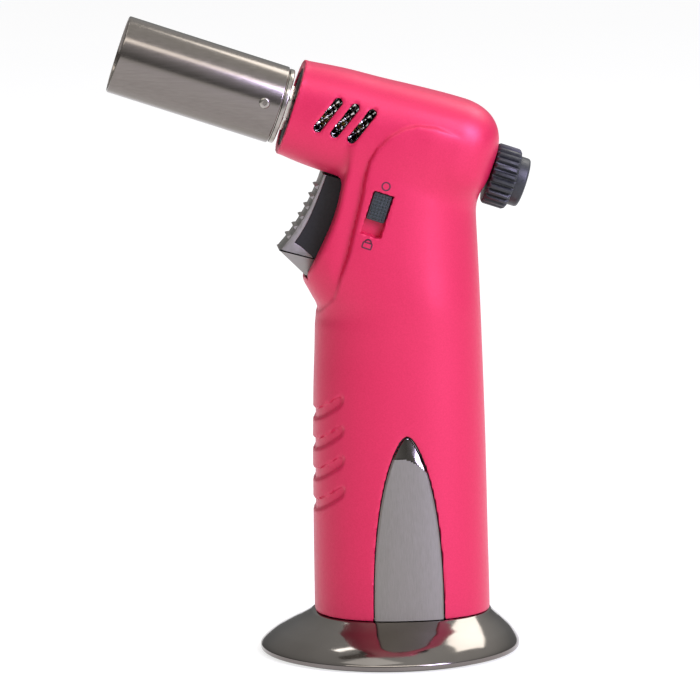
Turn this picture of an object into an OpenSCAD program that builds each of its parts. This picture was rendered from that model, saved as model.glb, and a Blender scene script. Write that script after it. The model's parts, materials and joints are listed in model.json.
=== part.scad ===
// Table-top butane torch: an upright handle with a fuel tank on a flared foot,
// and a tilted head that carries a burner tube in front and a flame knob behind.
// The burner points along -X, +Z is up and the origin lies under the foot's centre.

/* [Foot] */
// Radius of the round foot at its widest
foot_r = 33.3; // [30:0.1:40]
// Height of the foot, where the handle stands on it
foot_h = 10.2; // [8:0.1:13]
// Thickness of the rubber pad under the foot
pad_t = 1.4; // [0.8:0.1:2]

/* [Handle] */
// Length of the handle's oval at the foot, front to back
handle_l = 45.2; // [44:0.1:55]
// Width of the handle's oval at the foot, side to side
handle_w = 37.6; // [36:0.1:46]
// How far the handle's middle stands behind the foot's middle
handle_x = 3; // [1:0.1:6]
// Wall of the casing halves
wall = 2.2; // [1.8:0.1:2.6]
// Height of the name plates above the foot's top
plate_h = 47.3; // [30:0.1:60]
// Width of the name plates at the bottom
plate_w = 18.2; // [12:0.1:22]

/* [Head] */
// Height at which the head's axis crosses the foot's axis
head_z = 131.3; // [120:0.1:160]
// Tilt of the head's axis above level
head_tilt = 18.8; // [15:0.1:22]
// Distance from the foot's axis to the head's front face, along the head's axis
head_front = 24.7; // [24:0.1:32]
// Distance from the foot's axis to the head's rear face, along the head's axis
head_rear = 28; // [28:0.1:34]

/* [Burner] */
// Outer radius of the burner tube
tube_r = 10; // [9.5:0.1:12]
// Length of the burner tube, without its rear ring
tube_l = 42.4; // [34:0.1:60]
// Inner radius of the burner tube's mouth
mouth_r = 9.4; // [9.2:0.1:9.4]
// Outer radius of the mixing tube
mix_r = 4.5; // [4:0.1:4.6]
// Size of the neck nut across its flats
nut_af = 10; // [9.6:0.1:10.2]

/* [Controls] */
// Travel of the trigger
trigger_travel = 4.5; // [3:0.1:4.5]
// Width of the trigger
trigger_w = 11.4; // [10:0.1:12]
// Travel of the lock slider
lock_travel = 3.6; // [2.5:0.1:4]
// Radius of the flame knob over its ribs
knob_r = 7.85; // [6.8:0.05:9]
// Length of the knob's ribbed part
knob_l = 6.4; // [5:0.1:9]
// Number of ribs round the knob
knob_ribs = 36; // [24:1:48]
// Radius of the piezo igniter
piezo_r = 4; // [3.6:0.1:4]

/* [Hidden] */
$fn = 64;
eps = 0.01;
cut = 1;              // how far a cutting shape runs past what it cuts
run_gap = 0.05;       // radial clearance of a shaft in its bore
free_gap = 0.3;       // clearance between parts that pass each other

pink = [0.9, 0.24, 0.47];
gunmetal = [0.42, 0.41, 0.4];
steel = [0.72, 0.72, 0.72];
brass = [0.8, 0.65, 0.3];
black = [0.12, 0.12, 0.12];
nylon = [0.88, 0.88, 0.82];

// ---- Shared functions ----

function lerp(a, b, f) = a + (b - a) * f;
function unit(v) = v / norm(v);

// A rounded oval: half axes rx and ry, squarer as e grows past 2
function oval(rx, ry, e, n) = [
    for (i = [0:n - 1])
        let (c = cos(360 * i / n), s = sin(360 * i / n))
        [rx * sign(c) * pow(abs(c), 2 / e), ry * sign(s) * pow(abs(s), 2 / e)]
];

// Head axis: local z runs to the burner, local x runs up across the head, y stays
module on_head(t = 0, y = 0, s = 0) {
    translate([0, 0, head_z])
        rotate([0, head_tilt - 90, 0])
            translate([t, y, s])
                children();
}

// The point at distance s along the head's axis, t above it and y to its side
function head_point(s, t, y = 0) = [
    t * sin(head_tilt) - s * cos(head_tilt),
    y,
    head_z + s * sin(head_tilt) + t * cos(head_tilt)
];

// A smooth curve through the points p, with k steps from each point to the next
function curve_point(p, i, u) =
    let (n = len(p) - 1, a = p[max(i - 1, 0)], b = p[i], c = p[min(i + 1, n)], d = p[min(i + 2, n)])
    0.5 * (2 * b + (c - a) * u + (2 * a - 5 * b + 4 * c - d) * u * u
        + (3 * b - a - 3 * c + d) * u * u * u);
function curve(p, k) = concat(
    [for (i = [0:len(p) - 2]) for (j = [0:k - 1]) curve_point(p, i, j / k)],
    [p[len(p) - 1]]
);
function tangents(p) = [
    for (i = [0:len(p) - 1]) unit(p[min(i + 1, len(p) - 1)] - p[max(i - 1, 0)])
];
function sideways(t, out = []) =
    len(out) == len(t) ? out :
    let (i = len(out), last = i == 0 ? (abs(t[0].z) < 0.9 ? [0, 0, 1] : [1, 0, 0]) : out[i - 1])
    sideways(t, concat(out, [unit(last - t[i] * (last * t[i]))]));

// A round rod of radius r along the points p
module sweep(p, r, sides) {
    t = tangents(p);
    n = sideways(t);
    last = (len(p) - 1) * sides;
    points = [
        for (i = [0:len(p) - 1])
            for (j = [0:sides - 1])
                p[i] + r * (cos(360 * j / sides) * n[i] + sin(360 * j / sides) * cross(t[i], n[i]))
    ];
    walls = [
        for (i = [0:len(p) - 2])
            for (j = [0:sides - 1])
                let (k = (j + 1) % sides, a = i * sides)
                [a + j, a + sides + j, a + sides + k, a + k]
    ];
    polyhedron(
        points = points,
        faces = concat([[for (j = [0:sides - 1]) j]], walls, [[for (j = [sides - 1:-1:0]) last + j]]),
        convexity = 10
    );
}

// A closed shape through a stack of rings that all have the same number of points
module loft(rings) {
    n = len(rings[0]);
    top = (len(rings) - 1) * n;
    polyhedron(
        points = [for (ring = rings) for (p = ring) p],
        faces = concat(
            [[for (j = [0:n - 1]) j]],
            [
                for (i = [0:len(rings) - 2])
                    for (j = [0:n - 1])
                        let (k = (j + 1) % n, a = i * n)
                        [a + j, a + n + j, a + n + k, a + k]
            ],
            [[for (j = [n - 1:-1:0]) top + j]]
        ),
        convexity = 4
    );
}

module ring(r_out, r_in, h) {
    difference() {
        cylinder(r = r_out, h = h);
        translate([0, 0, -cut])
            cylinder(r = r_in, h = h + 2 * cut);
    }
}

// A flat slot with round ends: l is its whole length along x, w its width
module stadium(l, w) {
    square([l - w, w], center = true);
    for (side = [-1, 1])
        translate([side * (l - w) / 2, 0])
            circle(d = w);
}

// ---- Handle and head outlines ----

handle_top = head_z - 45.3;        // where the plain handle ends and the column to the head starts
taper_l = 1.5;                     // how much shorter each half of the oval is at the top
taper_w = 2.1;                     // how much narrower each side is at the top
column_front = 9;                  // column's front and width where it meets the head
column_w = 28.4;
column_t = -9;
handle_e = 2.3;                    // squareness of the ovals
head_e = 2.6;

front_t = 0.9;                     // thickness of the head's front plate
slice_t = 0.3;                     // thickness of one slice of the shell

// Each slice is [x, z, tilt, half length, half width]
handle_slices = [
    for (f = [0, 0.35, 0.7, 1])
        [handle_x + 0.1 * f, lerp(foot_h, handle_top, f), 0,
            handle_l / 2 - taper_l * f * f, handle_w / 2 - taper_w * f]
];
column_end = head_point((column_front - head_rear) / 2, column_t);
column_slices = [
    for (f = [0:0.2:1])
        [lerp(handle_x + 0.1, column_end.x, f), lerp(handle_top, column_end.z, f), head_tilt * f,
            lerp(handle_l / 2 - taper_l, (column_front + head_rear) / 2 - 0.5, f),
            lerp(handle_w / 2 - taper_w, column_w / 2, f)]
];
body_slices = concat(handle_slices, column_slices);
// the hollow goes on from the column up into the head
column_last = column_slices[len(column_slices) - 1];
column_rise = 6;
column_narrow = 2;
hollow_slices = concat(body_slices, [[
    column_last[0] + column_rise * sin(head_tilt), column_last[1] + column_rise * cos(head_tilt),
    column_last[2], column_last[3] - column_narrow, column_last[4] - column_narrow
]]);

// Each head slice is [s, bottom, top, half width], from the front face to the rear face
head_slices = [
    [head_front - front_t - slice_t, -11.7, 12.9, 11.6],
    [15, -12.6, 14, 12.5],
    [5, -13, 14.7, 13.4],
    [-5, -13, 15.3, 14.2],
    [-16, -12, 15.9, 14.6],
    [8 - head_rear, -11, 15.5, 14.4],
    [4.5 - head_rear, -10.5, 14, 13.6],
    [1.7 - head_rear, -9.5, 11.4, 11.9],
    [0.2 - head_rear, -8, 9.2, 9.8]
];

module body_slice(slice, inset) {
    translate([slice[0], 0, slice[1]])
        rotate([0, slice[2], 0])
            linear_extrude(slice_t)
                polygon(oval(slice[3] - inset, slice[4] - inset, handle_e, 32));
}

module head_slice(slice, inset) {
    on_head((slice[1] + slice[2]) / 2, 0, slice[0])
        linear_extrude(slice_t)
            polygon(oval((slice[2] - slice[1]) / 2 - inset, slice[3] - inset, head_e, 32));
}

// The shroud round the trigger pocket: front edge points [s, t] from the head down to the chin
shroud_half = 8.6;
shroud_edge = 1.5;
shroud_points = [[6.7, -10], [6.9, -38.3], [-6, -42], [-8, -10]];

module shroud() {
    hull()
        for (p = shroud_points)
            translate(head_point(p[0], p[1]))
                rotate([90, 0, 0])
                    cylinder(r = shroud_edge, h = 2 * shroud_half, center = true, $fn = 32);
}

module outer_shape() {
    for (i = [0:len(body_slices) - 2])
        hull() {
            body_slice(body_slices[i], 0);
            body_slice(body_slices[i + 1], 0);
        }
    for (i = [0:len(head_slices) - 2])
        hull() {
            head_slice(head_slices[i], 0);
            head_slice(head_slices[i + 1], 0);
        }
    shroud();
}

module inner_shape() {
    for (i = [0:len(hollow_slices) - 2])
        hull() {
            body_slice(hollow_slices[i], wall);
            body_slice(hollow_slices[i + 1], wall);
        }
    for (i = [0:len(head_slices) - 4])
        hull() {
            head_slice(head_slices[i], wall);
            head_slice(head_slices[i + 1], wall);
        }
    // open mouth at the front and open foot at the bottom
    on_head((head_slices[0][1] + head_slices[0][2]) / 2, 0, head_slices[0][0])
        linear_extrude(cut)
            polygon(oval((head_slices[0][2] - head_slices[0][1]) / 2 - wall,
                head_slices[0][3] - wall, head_e, 32));
    translate([handle_x, 0, foot_h - cut])
        linear_extrude(cut + eps)
            polygon(oval(handle_l / 2 - wall, handle_w / 2 - wall, handle_e, 32));
}

// ---- Openings in the casing ----

trigger_top = -12.8;               // top and bottom of the trigger, measured across the head
trigger_bottom = -39.1;
pocket_gap = 0.5;                  // clearance all round the trigger

module trigger_pocket() {
    half = trigger_w / 2 + pocket_gap;
    translate([0, half, 0])
        rotate([90, 0, 0])
            linear_extrude(2 * half)
                polygon([
                    for (p = [
                        [40, trigger_top + pocket_gap], [-13, trigger_top + pocket_gap],
                        [-13, trigger_bottom - pocket_gap], [40, trigger_bottom - pocket_gap]
                    ])
                        let (q = head_point(p[0], p[1]))
                        [q.x, q.z]
                ]);
}

vent_pitch = 4.4;                  // spacing of the three vents along the head
vent_l = 10.2;
vent_w = 2.1;
vent_slant = -16;                  // lean of a vent from straight across the head
vent_s = 11.9;
vent_t = 2.05;

module vents(side) {
    for (i = [-1:1])
        on_head(vent_t, side * 5, vent_s + i * vent_pitch)
            rotate([-90 * side, 0, 0])
                rotate([0, 0, vent_slant * -side])
                    linear_extrude(20)
                        stadium(vent_l, vent_w);
}

// Lock slot: centre of the slot on the left side, its size, and how deep the button's recess is
lock_s = -2.8;
lock_t = -17.8;
slot_l = 11.2;
slot_w = 5.2;
lock_floor = 13.2;
button_l = slot_l - lock_travel - 0.4;
stub_w = 2.4;
stub_l = 3.2;

module lock_slot() {
    on_head(lock_t, -lock_floor, lock_s)
        rotate([90, 0, 0])
            translate([-slot_l / 2, -slot_w / 2, 0])
                cube([slot_l, slot_w, 10]);
    on_head(lock_t, -8, lock_s)
        rotate([90, 0, 0])
            translate([-(stub_l + lock_travel) / 2 - free_gap, -stub_w / 2 - free_gap, 0])
                cube([stub_l + lock_travel + 2 * free_gap, stub_w + 2 * free_gap, 12]);
}

// Name plate outline in the side view: straight foot, sides that curve in to a point
plate_depth = 1.1;
plate_gap = 0.15;
plate_x = handle_x + 0.3;
plate_steps = 8;

function plate_half(f) = plate_w / 2 * pow(1 - pow(f, 2.2), 0.8);
function plate_outline(grow) = concat(
    [for (i = [0:plate_steps]) [plate_half(i / plate_steps) + grow, lerp(0, plate_h + grow, i / plate_steps)]],
    [for (i = [plate_steps - 1:-1:0])
        [-plate_half(i / plate_steps) - grow, lerp(0, plate_h + grow, i / plate_steps)]]
);

module plate_prism(side, grow) {
    translate([plate_x, side > 0 ? 40 : 0, foot_h])
        rotate([90, 0, 0])
            linear_extrude(40)
                polygon(plate_outline(grow));
}

module handle_only(inset) {
    for (i = [0:len(handle_slices) - 2])
        hull() {
            body_slice(handle_slices[i], inset);
            body_slice(handle_slices[i + 1], inset);
        }
}

// ---- Case screws: [x, z] places, all driven from the right side ----

screw_r = 1.1;
screw_head_r = 2.2;
screw_head_h = 1.6;
boss_r = 2.5;
screw_floor = 9;                   // side distance at which a case screw's head seats
screw_places = [
    [handle_x - 15, handle_top - 3.5],
    [handle_x + 16, handle_top + 5],
    [head_point(-20, 8.5).x, head_point(-20, 8.5).z],
    [head_point(17.5, -7.5).x, head_point(17.5, -7.5).z]
];

module at_screws() {
    for (p = screw_places)
        translate([p[0], 0, p[1]])
            rotate([-90, 0, 0])
                children();
}

module casing_half(side) {
    intersection() {
        difference() {
            union() {
                difference() {
                    outer_shape();
                    inner_shape();
                }
                intersection() {
                    outer_shape();
                    at_screws()
                        cylinder(r = boss_r + 0.4, h = 60, center = true, $fn = 32);
                }
            }
            trigger_pocket();
            vents(side);
            if (side < 0)
                lock_slot();
            // hole for the knob's spindle
            on_head(0, 0, -head_rear - 5)
                cylinder(r = 4, h = 15, $fn = 32);
            // recess for the name plate
            difference() {
                plate_prism(side, plate_gap);
                handle_only(plate_depth);
            }
            // screw holes: through the right half, blind in the left half
            at_screws()
                translate([0, 0, side > 0 ? -cut : -7])
                    cylinder(r = screw_r, h = 40, $fn = 24);
            if (side > 0)
                at_screws()
                    translate([0, 0, screw_floor])
                        cylinder(r = screw_head_r + 0.2, h = 20, $fn = 32);
        }
        translate([-100, side > 0 ? 0 : -100, 0])
            cube([200, 100, 300]);
    }
}

module casing_left() {
    color(pink)
        casing_half(-1);
}

module casing_right() {
    color(pink)
        casing_half(1);
}

module case_screws() {
    color(steel)
        at_screws() {
            translate([0, 0, screw_floor])
                difference() {
                    cylinder(r = screw_head_r, h = screw_head_h);
                    translate([-0.4, -1.6, screw_head_h - 0.7])
                        cube([0.8, 3.2, 2]);
                    translate([-1.6, -0.4, screw_head_h - 0.7])
                        cube([3.2, 0.8, 2]);
                }
            translate([0, 0, -6.5])
                cylinder(r = screw_r - 0.03, h = 6.5 + screw_floor);
        }
}

module name_plate(side) {
    color(gunmetal)
        intersection() {
            difference() {
                handle_only(0);
                handle_only(plate_depth - 0.02);
            }
            plate_prism(side, 0);
        }
}

module plate_left() {
    name_plate(-1);
}

module plate_right() {
    name_plate(1);
}

// ---- Foot ----

pad_r = foot_r - 2.3;
pad_recess = 0.8;
foot_under = pad_t - pad_recess;   // height of the foot's metal underside
cup_x = handle_x - 0.2;            // tank, filler valve and outlet valve stand on this line
cup_r = 8;
cup_bore = 6.8;
cup_roof = 1.4;
foot_screw_r = 1.2;
foot_screw_places = [[-12.6, 0], [9.5, 9.5], [9.5, -9.5]];

// Foot outline: [height, share of the way from the round rim to the handle's oval]
foot_profile = [
    [0, 0.012], [0.09, 0], [0.26, 0.015], [0.43, 0.14], [0.58, 0.32], [0.74, 0.52], [0.9, 0.78], [1, 1]
];

function foot_ring(z, f) =
    let (round = oval(foot_r, foot_r, 2, 64), top = oval(handle_l / 2 + 0.3, handle_w / 2 + 0.3, handle_e, 64))
    [for (i = [0:63])
        let (a = round[i], b = top[i])
        [lerp(a.x, b.x + handle_x, f), lerp(a.y, b.y, f), z]];

module base_foot() {
    color(gunmetal)
        difference() {
            loft([for (p = foot_profile) foot_ring(lerp(foot_under, foot_h, p[0]), p[1])]);
            translate([0, 0, foot_under - cut])
                cylinder(r = pad_r, h = pad_recess + cut);
            // hollow underside round the filler cup
            translate([cup_x, 0, pad_t - cut])
                ring(17, cup_r + 1.6, foot_h - pad_t - 2.2 + cut);
            translate([cup_x, 0, 0])
                cylinder(r = cup_r, h = foot_h + cut);
            for (p = foot_screw_places)
                translate([cup_x + p[0], p[1], 0])
                    cylinder(r = foot_screw_r, h = foot_h + cut);
        }
}

module base_pad() {
    color(black)
        difference() {
            cylinder(r = pad_r, h = pad_t);
            translate([cup_x, 0, -cut])
                cylinder(r = cup_r + 9, h = pad_t + 2 * cut);
        }
}

module base_screws() {
    color(steel)
        for (p = foot_screw_places)
            translate([cup_x + p[0], p[1], foot_h - 2.2 - 1.5]) {
                cylinder(r = 2.2, h = 1.5);
                cylinder(r = foot_screw_r - 0.03, h = 1.5 + 2.2 + floor_t);
            }
}

module filler_cup() {
    color(black)
        translate([cup_x, 0, pad_t])
            difference() {
                cylinder(r = cup_r, h = foot_h - pad_t);
                translate([0, 0, -cut])
                    cylinder(r = cup_bore, h = foot_h - pad_t - cup_roof + cut);
                cylinder(r = valve_r, h = foot_h);
            }
}

// ---- Floor plate, tank and filler valve ----

floor_t = 1.8;
tank_z = foot_h + floor_t;
tank_wall = 1.4;
tank_r = min(handle_w / 2 - taper_w - wall - 1, handle_l / 2 - 6);
tank_shift = 4;                    // half the length of the tank's straight sides
lid_t = 2;
deck = head_z - 53.3;              // top of the tank's lid
tank_top = deck - lid_t;
valve_r = 3.5;
stem_r = 1.5;
stem_low = 3.2;                    // lowest point of the filler stem
stem_tip_r = 1.15;                 // the stem's free end, which a gas can's nozzle takes
stem_tip_h = 3.8;
stem_travel = 1.5;
chamber_z = tank_z + 2;            // floor of the valve's spring chamber
chamber_r = 2.6;
chamber_h = 8;

module floor_plate() {
    color(nylon)
        translate([0, 0, foot_h])
            difference() {
                translate([handle_x, 0, 0])
                    linear_extrude(floor_t)
                        polygon(oval(handle_l / 2 - wall - 0.25, handle_w / 2 - wall - 0.25, handle_e, 48));
                translate([cup_x, 0, -cut])
                    cylinder(r = valve_r, h = floor_t + 2 * cut);
                for (p = foot_screw_places)
                    translate([cup_x + p[0], p[1], -cut])
                        cylinder(r = foot_screw_r, h = floor_t + 2 * cut);
            }
}

module tank_outline(r) {
    stadium(2 * (r + tank_shift), 2 * r);
}

module fuel_tank() {
    color(nylon)
        translate([cup_x, 0, tank_z])
            difference() {
                linear_extrude(tank_top - tank_z)
                    tank_outline(tank_r);
                translate([0, 0, tank_wall])
                    linear_extrude(tank_top - tank_z)
                        tank_outline(tank_r - tank_wall);
                translate([0, 0, -cut])
                    cylinder(r = valve_r, h = tank_wall + 2 * cut);
            }
}

module tank_lid() {
    color(nylon)
        translate([cup_x, 0, 0])
            difference() {
                union() {
                    translate([0, 0, tank_top])
                        linear_extrude(lid_t)
                            tank_outline(tank_r);
                    translate([0, 0, tank_top - 3])
                        linear_extrude(3)
                            tank_outline(tank_r - tank_wall);
                }
                translate([0, 0, tank_top - 3 - cut])
                    linear_extrude(3)
                        tank_outline(tank_r - tank_wall - 1.5);
                translate([0, 0, tank_top - 5])
                    cylinder(r = outlet_r, h = 10);
            }
}

module filler_valve() {
    color(brass)
        translate([cup_x, 0, 0])
            difference() {
                union() {
                    translate([0, 0, foot_h - cup_roof - 1.5])
                        cylinder(r = valve_r, h = chamber_z + chamber_h - foot_h + cup_roof + 1.5);
                    translate([0, 0, foot_h - cup_roof - 1.5])
                        cylinder(r = 5, h = 1.5);
                }
                cylinder(r = stem_r + run_gap, h = chamber_z + cut);
                translate([0, 0, chamber_z])
                    cylinder(r = chamber_r, h = chamber_h + cut);
            }
}

module filler_cap() {
    color(brass)
        translate([cup_x, 0, chamber_z + chamber_h])
            ring(valve_r, 1, 1);
}

module filler_seal() {
    color(black)
        translate([cup_x, 0, tank_z + tank_wall + 0.7])
            rotate_extrude()
                translate([valve_r + 0.7, 0])
                    circle(r = 0.7, $fn = 24);
}

module filler_stem() {
    color(brass)
        translate([cup_x, 0, 0]) {
            difference() {
                union() {
                    translate([0, 0, stem_low])
                        cylinder(r = stem_tip_r, h = stem_tip_h + eps);
                    translate([0, 0, stem_low + stem_tip_h])
                        cylinder(r = stem_r, h = chamber_z + 0.3 - stem_low - stem_tip_h);
                }
                translate([0, 0, stem_low - cut])
                    cylinder(r = 0.5, h = 9);
            }
            translate([0, 0, chamber_z + 0.3])
                cylinder(r = 2.4, h = 1);
        }
}

spring_wire = 0.22;
spring_turns = 6;
spring_low = chamber_z + 1.3 + spring_wire;
spring_high = chamber_z + chamber_h - spring_wire;

module filler_spring() {
    steps = 12 * spring_turns;
    color(steel)
        sweep(
            [for (i = [0:steps])
                [cup_x + 1.8 * cos(30 * i), 1.8 * sin(30 * i), lerp(spring_low, spring_high, i / steps)]],
            spring_wire, 6
        );
}

// ---- Outlet valve, its stem and the lever that lifts it ----

outlet_r = 3;
outlet_h = 4.2;
port_z = deck + 2.6;               // side port for the gas hose
port_y = 6;
lift_stem_r = 1.2;
collar_r = 2;
collar_h = 1.2;
lever_x = cup_x + 4.2;             // lever's pivot
lever_z = deck + 6.4;
lever_turn = 29 * trigger_travel / 4.5; // how far the lever turns over the trigger's travel
lever_reach = lever_x - cup_x;
pivot_r = 0.8;
fork_r = 0.6;
fork_low = lever_z - lever_reach * sin(lever_turn / 2);
stem_lift = 2 * lever_reach * sin(lever_turn / 2);
collar_z = fork_low + fork_r + free_gap;
tail_end = -12;                    // rear end of the trigger's tail, along the head's axis
tail_top = -30;
tail_bottom = -36.5;
tip_r = 1;
tip = head_point(tail_end - tip_r - 0.45, -35);

module outlet_valve() {
    color(brass)
        translate([cup_x, 0, 0])
            difference() {
                union() {
                    translate([0, 0, tank_top - 5])
                        cylinder(r = outlet_r, h = 5 + lid_t + outlet_h);
                    translate([0, 0, deck])
                        cylinder(r = 4.2, h = 1.2);
                    // side port for the gas hose
                    translate([0, 0, port_z])
                        rotate([-90, 0, 0])
                            cylinder(r = 1.3, h = port_y);
                }
                translate([0, 0, tank_top - 3])
                    cylinder(r = lift_stem_r + run_gap, h = 20);
            }
}

module valve_seal() {
    color(black)
        translate([cup_x, 0, tank_top - 3.6])
            rotate_extrude()
                translate([outlet_r + 0.6, 0])
                    circle(r = 0.6, $fn = 24);
}

module valve_stem() {
    color(steel)
        translate([cup_x, 0, 0]) {
            translate([0, 0, tank_top - 2])
                cylinder(r = lift_stem_r, h = collar_z + collar_h - tank_top + 2);
            translate([0, 0, collar_z])
                cylinder(r = collar_r, h = collar_h);
        }
}

// A flat bar with round ends from a to b in the side view, w thick along y
module side_bar(a, b, r, w) {
    rotate([90, 0, 0])
        linear_extrude(w, center = true) {
            translate([(a.x + b.x) / 2, (a.z + b.z) / 2])
                rotate([0, 0, atan2(b.z - a.z, b.x - a.x)])
                    stadium(norm(b - a) + 2 * r, 2 * r);
        }
}

module valve_lever() {
    pivot = [lever_x, 0, lever_z];
    fork = [cup_x + lever_reach * (1 - cos(lever_turn / 2)), 0, fork_low];
    color(steel)
        difference() {
            union() {
                side_bar(pivot, tip, tip_r, 3);
                side_bar(pivot, pivot + [eps, 0, 0], 1.4, 6.8);
                for (side = [-1, 1]) {
                    translate([0, side * 2.9, 0])
                        side_bar(pivot, fork, fork_r, 1);
                    // peg that lifts the stem's collar
                    translate([0, side * 2.45, 0])
                        side_bar(fork, fork + [eps, 0, 0], fork_r - 0.05, 1.8);
                }
            }
            translate(pivot)
                rotate([90, 0, 0])
                    cylinder(r = pivot_r + run_gap, h = 20, center = true);
        }
}

module lever_pin() {
    color(steel)
        translate([lever_x, 0, lever_z])
            rotate([90, 0, 0])
                cylinder(r = pivot_r, h = 2 * chassis_out, center = true);
}

// ---- Chassis ----

chassis_in = trigger_w / 2 + free_gap;
chassis_out = chassis_in + 2;
piezo_t = -25;                     // height of the piezo's axis, across the head
piezo_front = -8;
piezo_end = -27;
holder_front = -20;
regulator_r = 5;
regulator_end = -23;
saddle_r = 7.2;
saddle_front = -10;
saddle_rear = -16;

module side_prism(points, half) {
    translate([0, half, 0])
        rotate([90, 0, 0])
            linear_extrude(2 * half)
                polygon([for (p = points) [p.x, p.z]]);
}

module chassis() {
    color(black)
        difference() {
            union() {
                // two side plates with the piezo's holder between them
                difference() {
                    side_prism([
                        [cup_x - 8, 0, deck], [cup_x + 12, 0, deck], head_point(-22, -38),
                        head_point(-24, -28), head_point(-24, -20), head_point(saddle_rear, -3),
                        head_point(saddle_front, -3), head_point(-2, -17), head_point(-2, -34)
                    ], chassis_out);
                    side_prism([
                        [cup_x - 20, 0, deck - 5], [cup_x + 30, 0, deck - 5],
                        head_point(-40, -20), head_point(-40, -9), head_point(10, -9), head_point(20, -40)
                    ], chassis_in);
                }
                // piezo holder
                intersection() {
                    on_head(piezo_t - 6, -chassis_in - eps, piezo_end + 1.5)
                        cube([12, 2 * chassis_in + 2 * eps, holder_front - piezo_end - 2]);
                    side_prism([head_point(0, -60), head_point(-60, -60), head_point(-60, 0), head_point(0, 0)], 30);
                }
                // saddle round the regulator
                on_head(0, 0, saddle_rear)
                    cylinder(r = saddle_r, h = saddle_front - saddle_rear);
            }
            on_head(piezo_t, 0, -40)
                cylinder(r = piezo_r, h = 60);
            on_head(0, 0, -30)
                cylinder(r = regulator_r, h = 40);
            translate([lever_x, 0, lever_z])
                rotate([90, 0, 0])
                    cylinder(r = pivot_r, h = 40, center = true);
            // way out for the gas hose's port
            translate([cup_x - 3, 0, deck - cut])
                cube([6, 30, 7]);
            // window beside the lock carrier's tongue
            on_head(lock_t, 0, lock_s)
                rotate([90, 0, 0])
                    translate([-5, -3, 0])
                        cube([10, 6, 20]);
        }
}

// ---- Piezo igniter ----

plunger_r = piezo_r - 1.05;

module piezo_igniter() {
    color("dimgray")
        on_head(piezo_t, 0, piezo_end)
            difference() {
                cylinder(r = piezo_r, h = piezo_front - piezo_end);
                translate([0, 0, 8])
                    cylinder(r = plunger_r + run_gap, h = 20);
            }
}

module piezo_plunger() {
    color(nylon)
        on_head(piezo_t, 0, piezo_front - 4)
            cylinder(r = plunger_r, h = trigger_rear - piezo_front + 4);
}

// ---- Trigger: outlines in [s, t], s along the head's axis and t across it ----

trigger_rear = -2;
face_t = 1.1;                      // thickness of the metal face
face_flare = 4.8;                  // how far the toe stands in front of the top
toe_start = -31.5;

function face_front(t) = 12.4 + face_flare * pow((trigger_top - t) / 22.5, 2);
face_levels = [for (i = [0:8]) lerp(trigger_top, toe_start, i / 8)];

module trigger_prism(points) {
    side_prism([for (p = points) head_point(p[0], p[1])], trigger_w / 2);
}

module trigger_body() {
    color(black) {
        trigger_prism(concat(
            [[trigger_rear, trigger_top]],
            [for (t = face_levels) [face_front(t) - face_t, t]],
            [[12, -32.2], [9, -33.4], [3, -34], [trigger_rear, -34]]
        ));
        // tail that moves the valve lever
        side_prism([
            head_point(trigger_rear, tail_top), head_point(trigger_rear, tail_bottom),
            head_point(tail_end, tail_bottom), head_point(tail_end, tail_top)
        ], 2.5);
        side_prism([
            head_point(3, -34), head_point(3, tail_bottom),
            head_point(trigger_rear, tail_bottom), head_point(trigger_rear, -34)
        ], 2.5);
    }
}

module trigger_face() {
    teeth = 6;
    color(gunmetal) {
        trigger_prism(concat(
            [for (t = face_levels) [face_front(t) - face_t, t]],
            [[12, -32.2], [9, -33.4], [3, -34], [3, -36.5], [8.4, -38.9], [12.7, -37.6], [16.4, -36],
                [17.2, -35.2], [17, -34.2]],
            [for (i = [8:-1:0]) [face_front(face_levels[i]), face_levels[i]]]
        ));
        for (i = [0:teeth - 1])
            let (t = -16.6 - 2.7 * i)
            trigger_prism([
                [face_front(t) - 0.4, t - 0.9], [face_front(t) + 0.7, t - 0.2],
                [face_front(t) + 0.7, t + 0.2], [face_front(t) - 0.4, t + 0.9]
            ]);
    }
}

// ---- Lock slider ----

button_top = 15;
carrier_y = 8.6;                   // side distance of the carrier's plate

module lock_button() {
    color(black)
        on_head(lock_t + slot_l / 2 - button_l / 2 - 0.2, -lock_floor - free_gap, lock_s)
            rotate([90, 0, 0])
                translate([-button_l / 2, -slot_w / 2 + 0.3, 0])
                    cube([button_l, slot_w - 0.6, button_top - lock_floor - free_gap]);
}

module lock_carrier() {
    color(black)
        on_head(lock_t + lock_travel / 2, 0, lock_s) {
            rotate([90, 0, 0]) {
                translate([-stub_l / 2, -stub_w / 2, 0])
                    translate([0, 0, carrier_y])
                        cube([stub_l, stub_w, lock_floor + free_gap - carrier_y]);
                translate([-3.5, -2.2, carrier_y])
                    cube([7, 4.4, 1.2]);
                translate([-1.5, -1.5, chassis_in + 0.1])
                    cube([3, 3, carrier_y - chassis_in - 0.1]);
            }
        }
}

// ---- Head fittings ----

sleeve_r = 1;
sleeve_y = 7;

module front_plate() {
    first = head_slices[0];
    color(black)
        on_head(0, 0, head_front - front_t + eps)
            difference() {
                translate([(first[1] + first[2]) / 2, 0, 0])
                    linear_extrude(front_t - eps)
                        polygon(oval((first[2] - first[1]) / 2, first[3], head_e, 48));
                translate([0, 0, -cut])
                    cylinder(r = mix_r, h = 4);
                translate([0, sleeve_y, -cut])
                    cylinder(r = sleeve_r, h = 4);
            }
}

mesh_t = 0.5;
mesh_y = 8.35;

module vent_mesh(side) {
    color(steel)
        on_head(vent_t, side * mesh_y, vent_s)
            translate([-5.3, -mesh_t / 2, -7.7])
                cube([10.6, mesh_t, 15.4]);
}

module vent_mesh_left() {
    vent_mesh(-1);
}

module vent_mesh_right() {
    vent_mesh(1);
}

spindle_r = 2;
inlet_s = -7;
inlet_y = 6.2;

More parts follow.
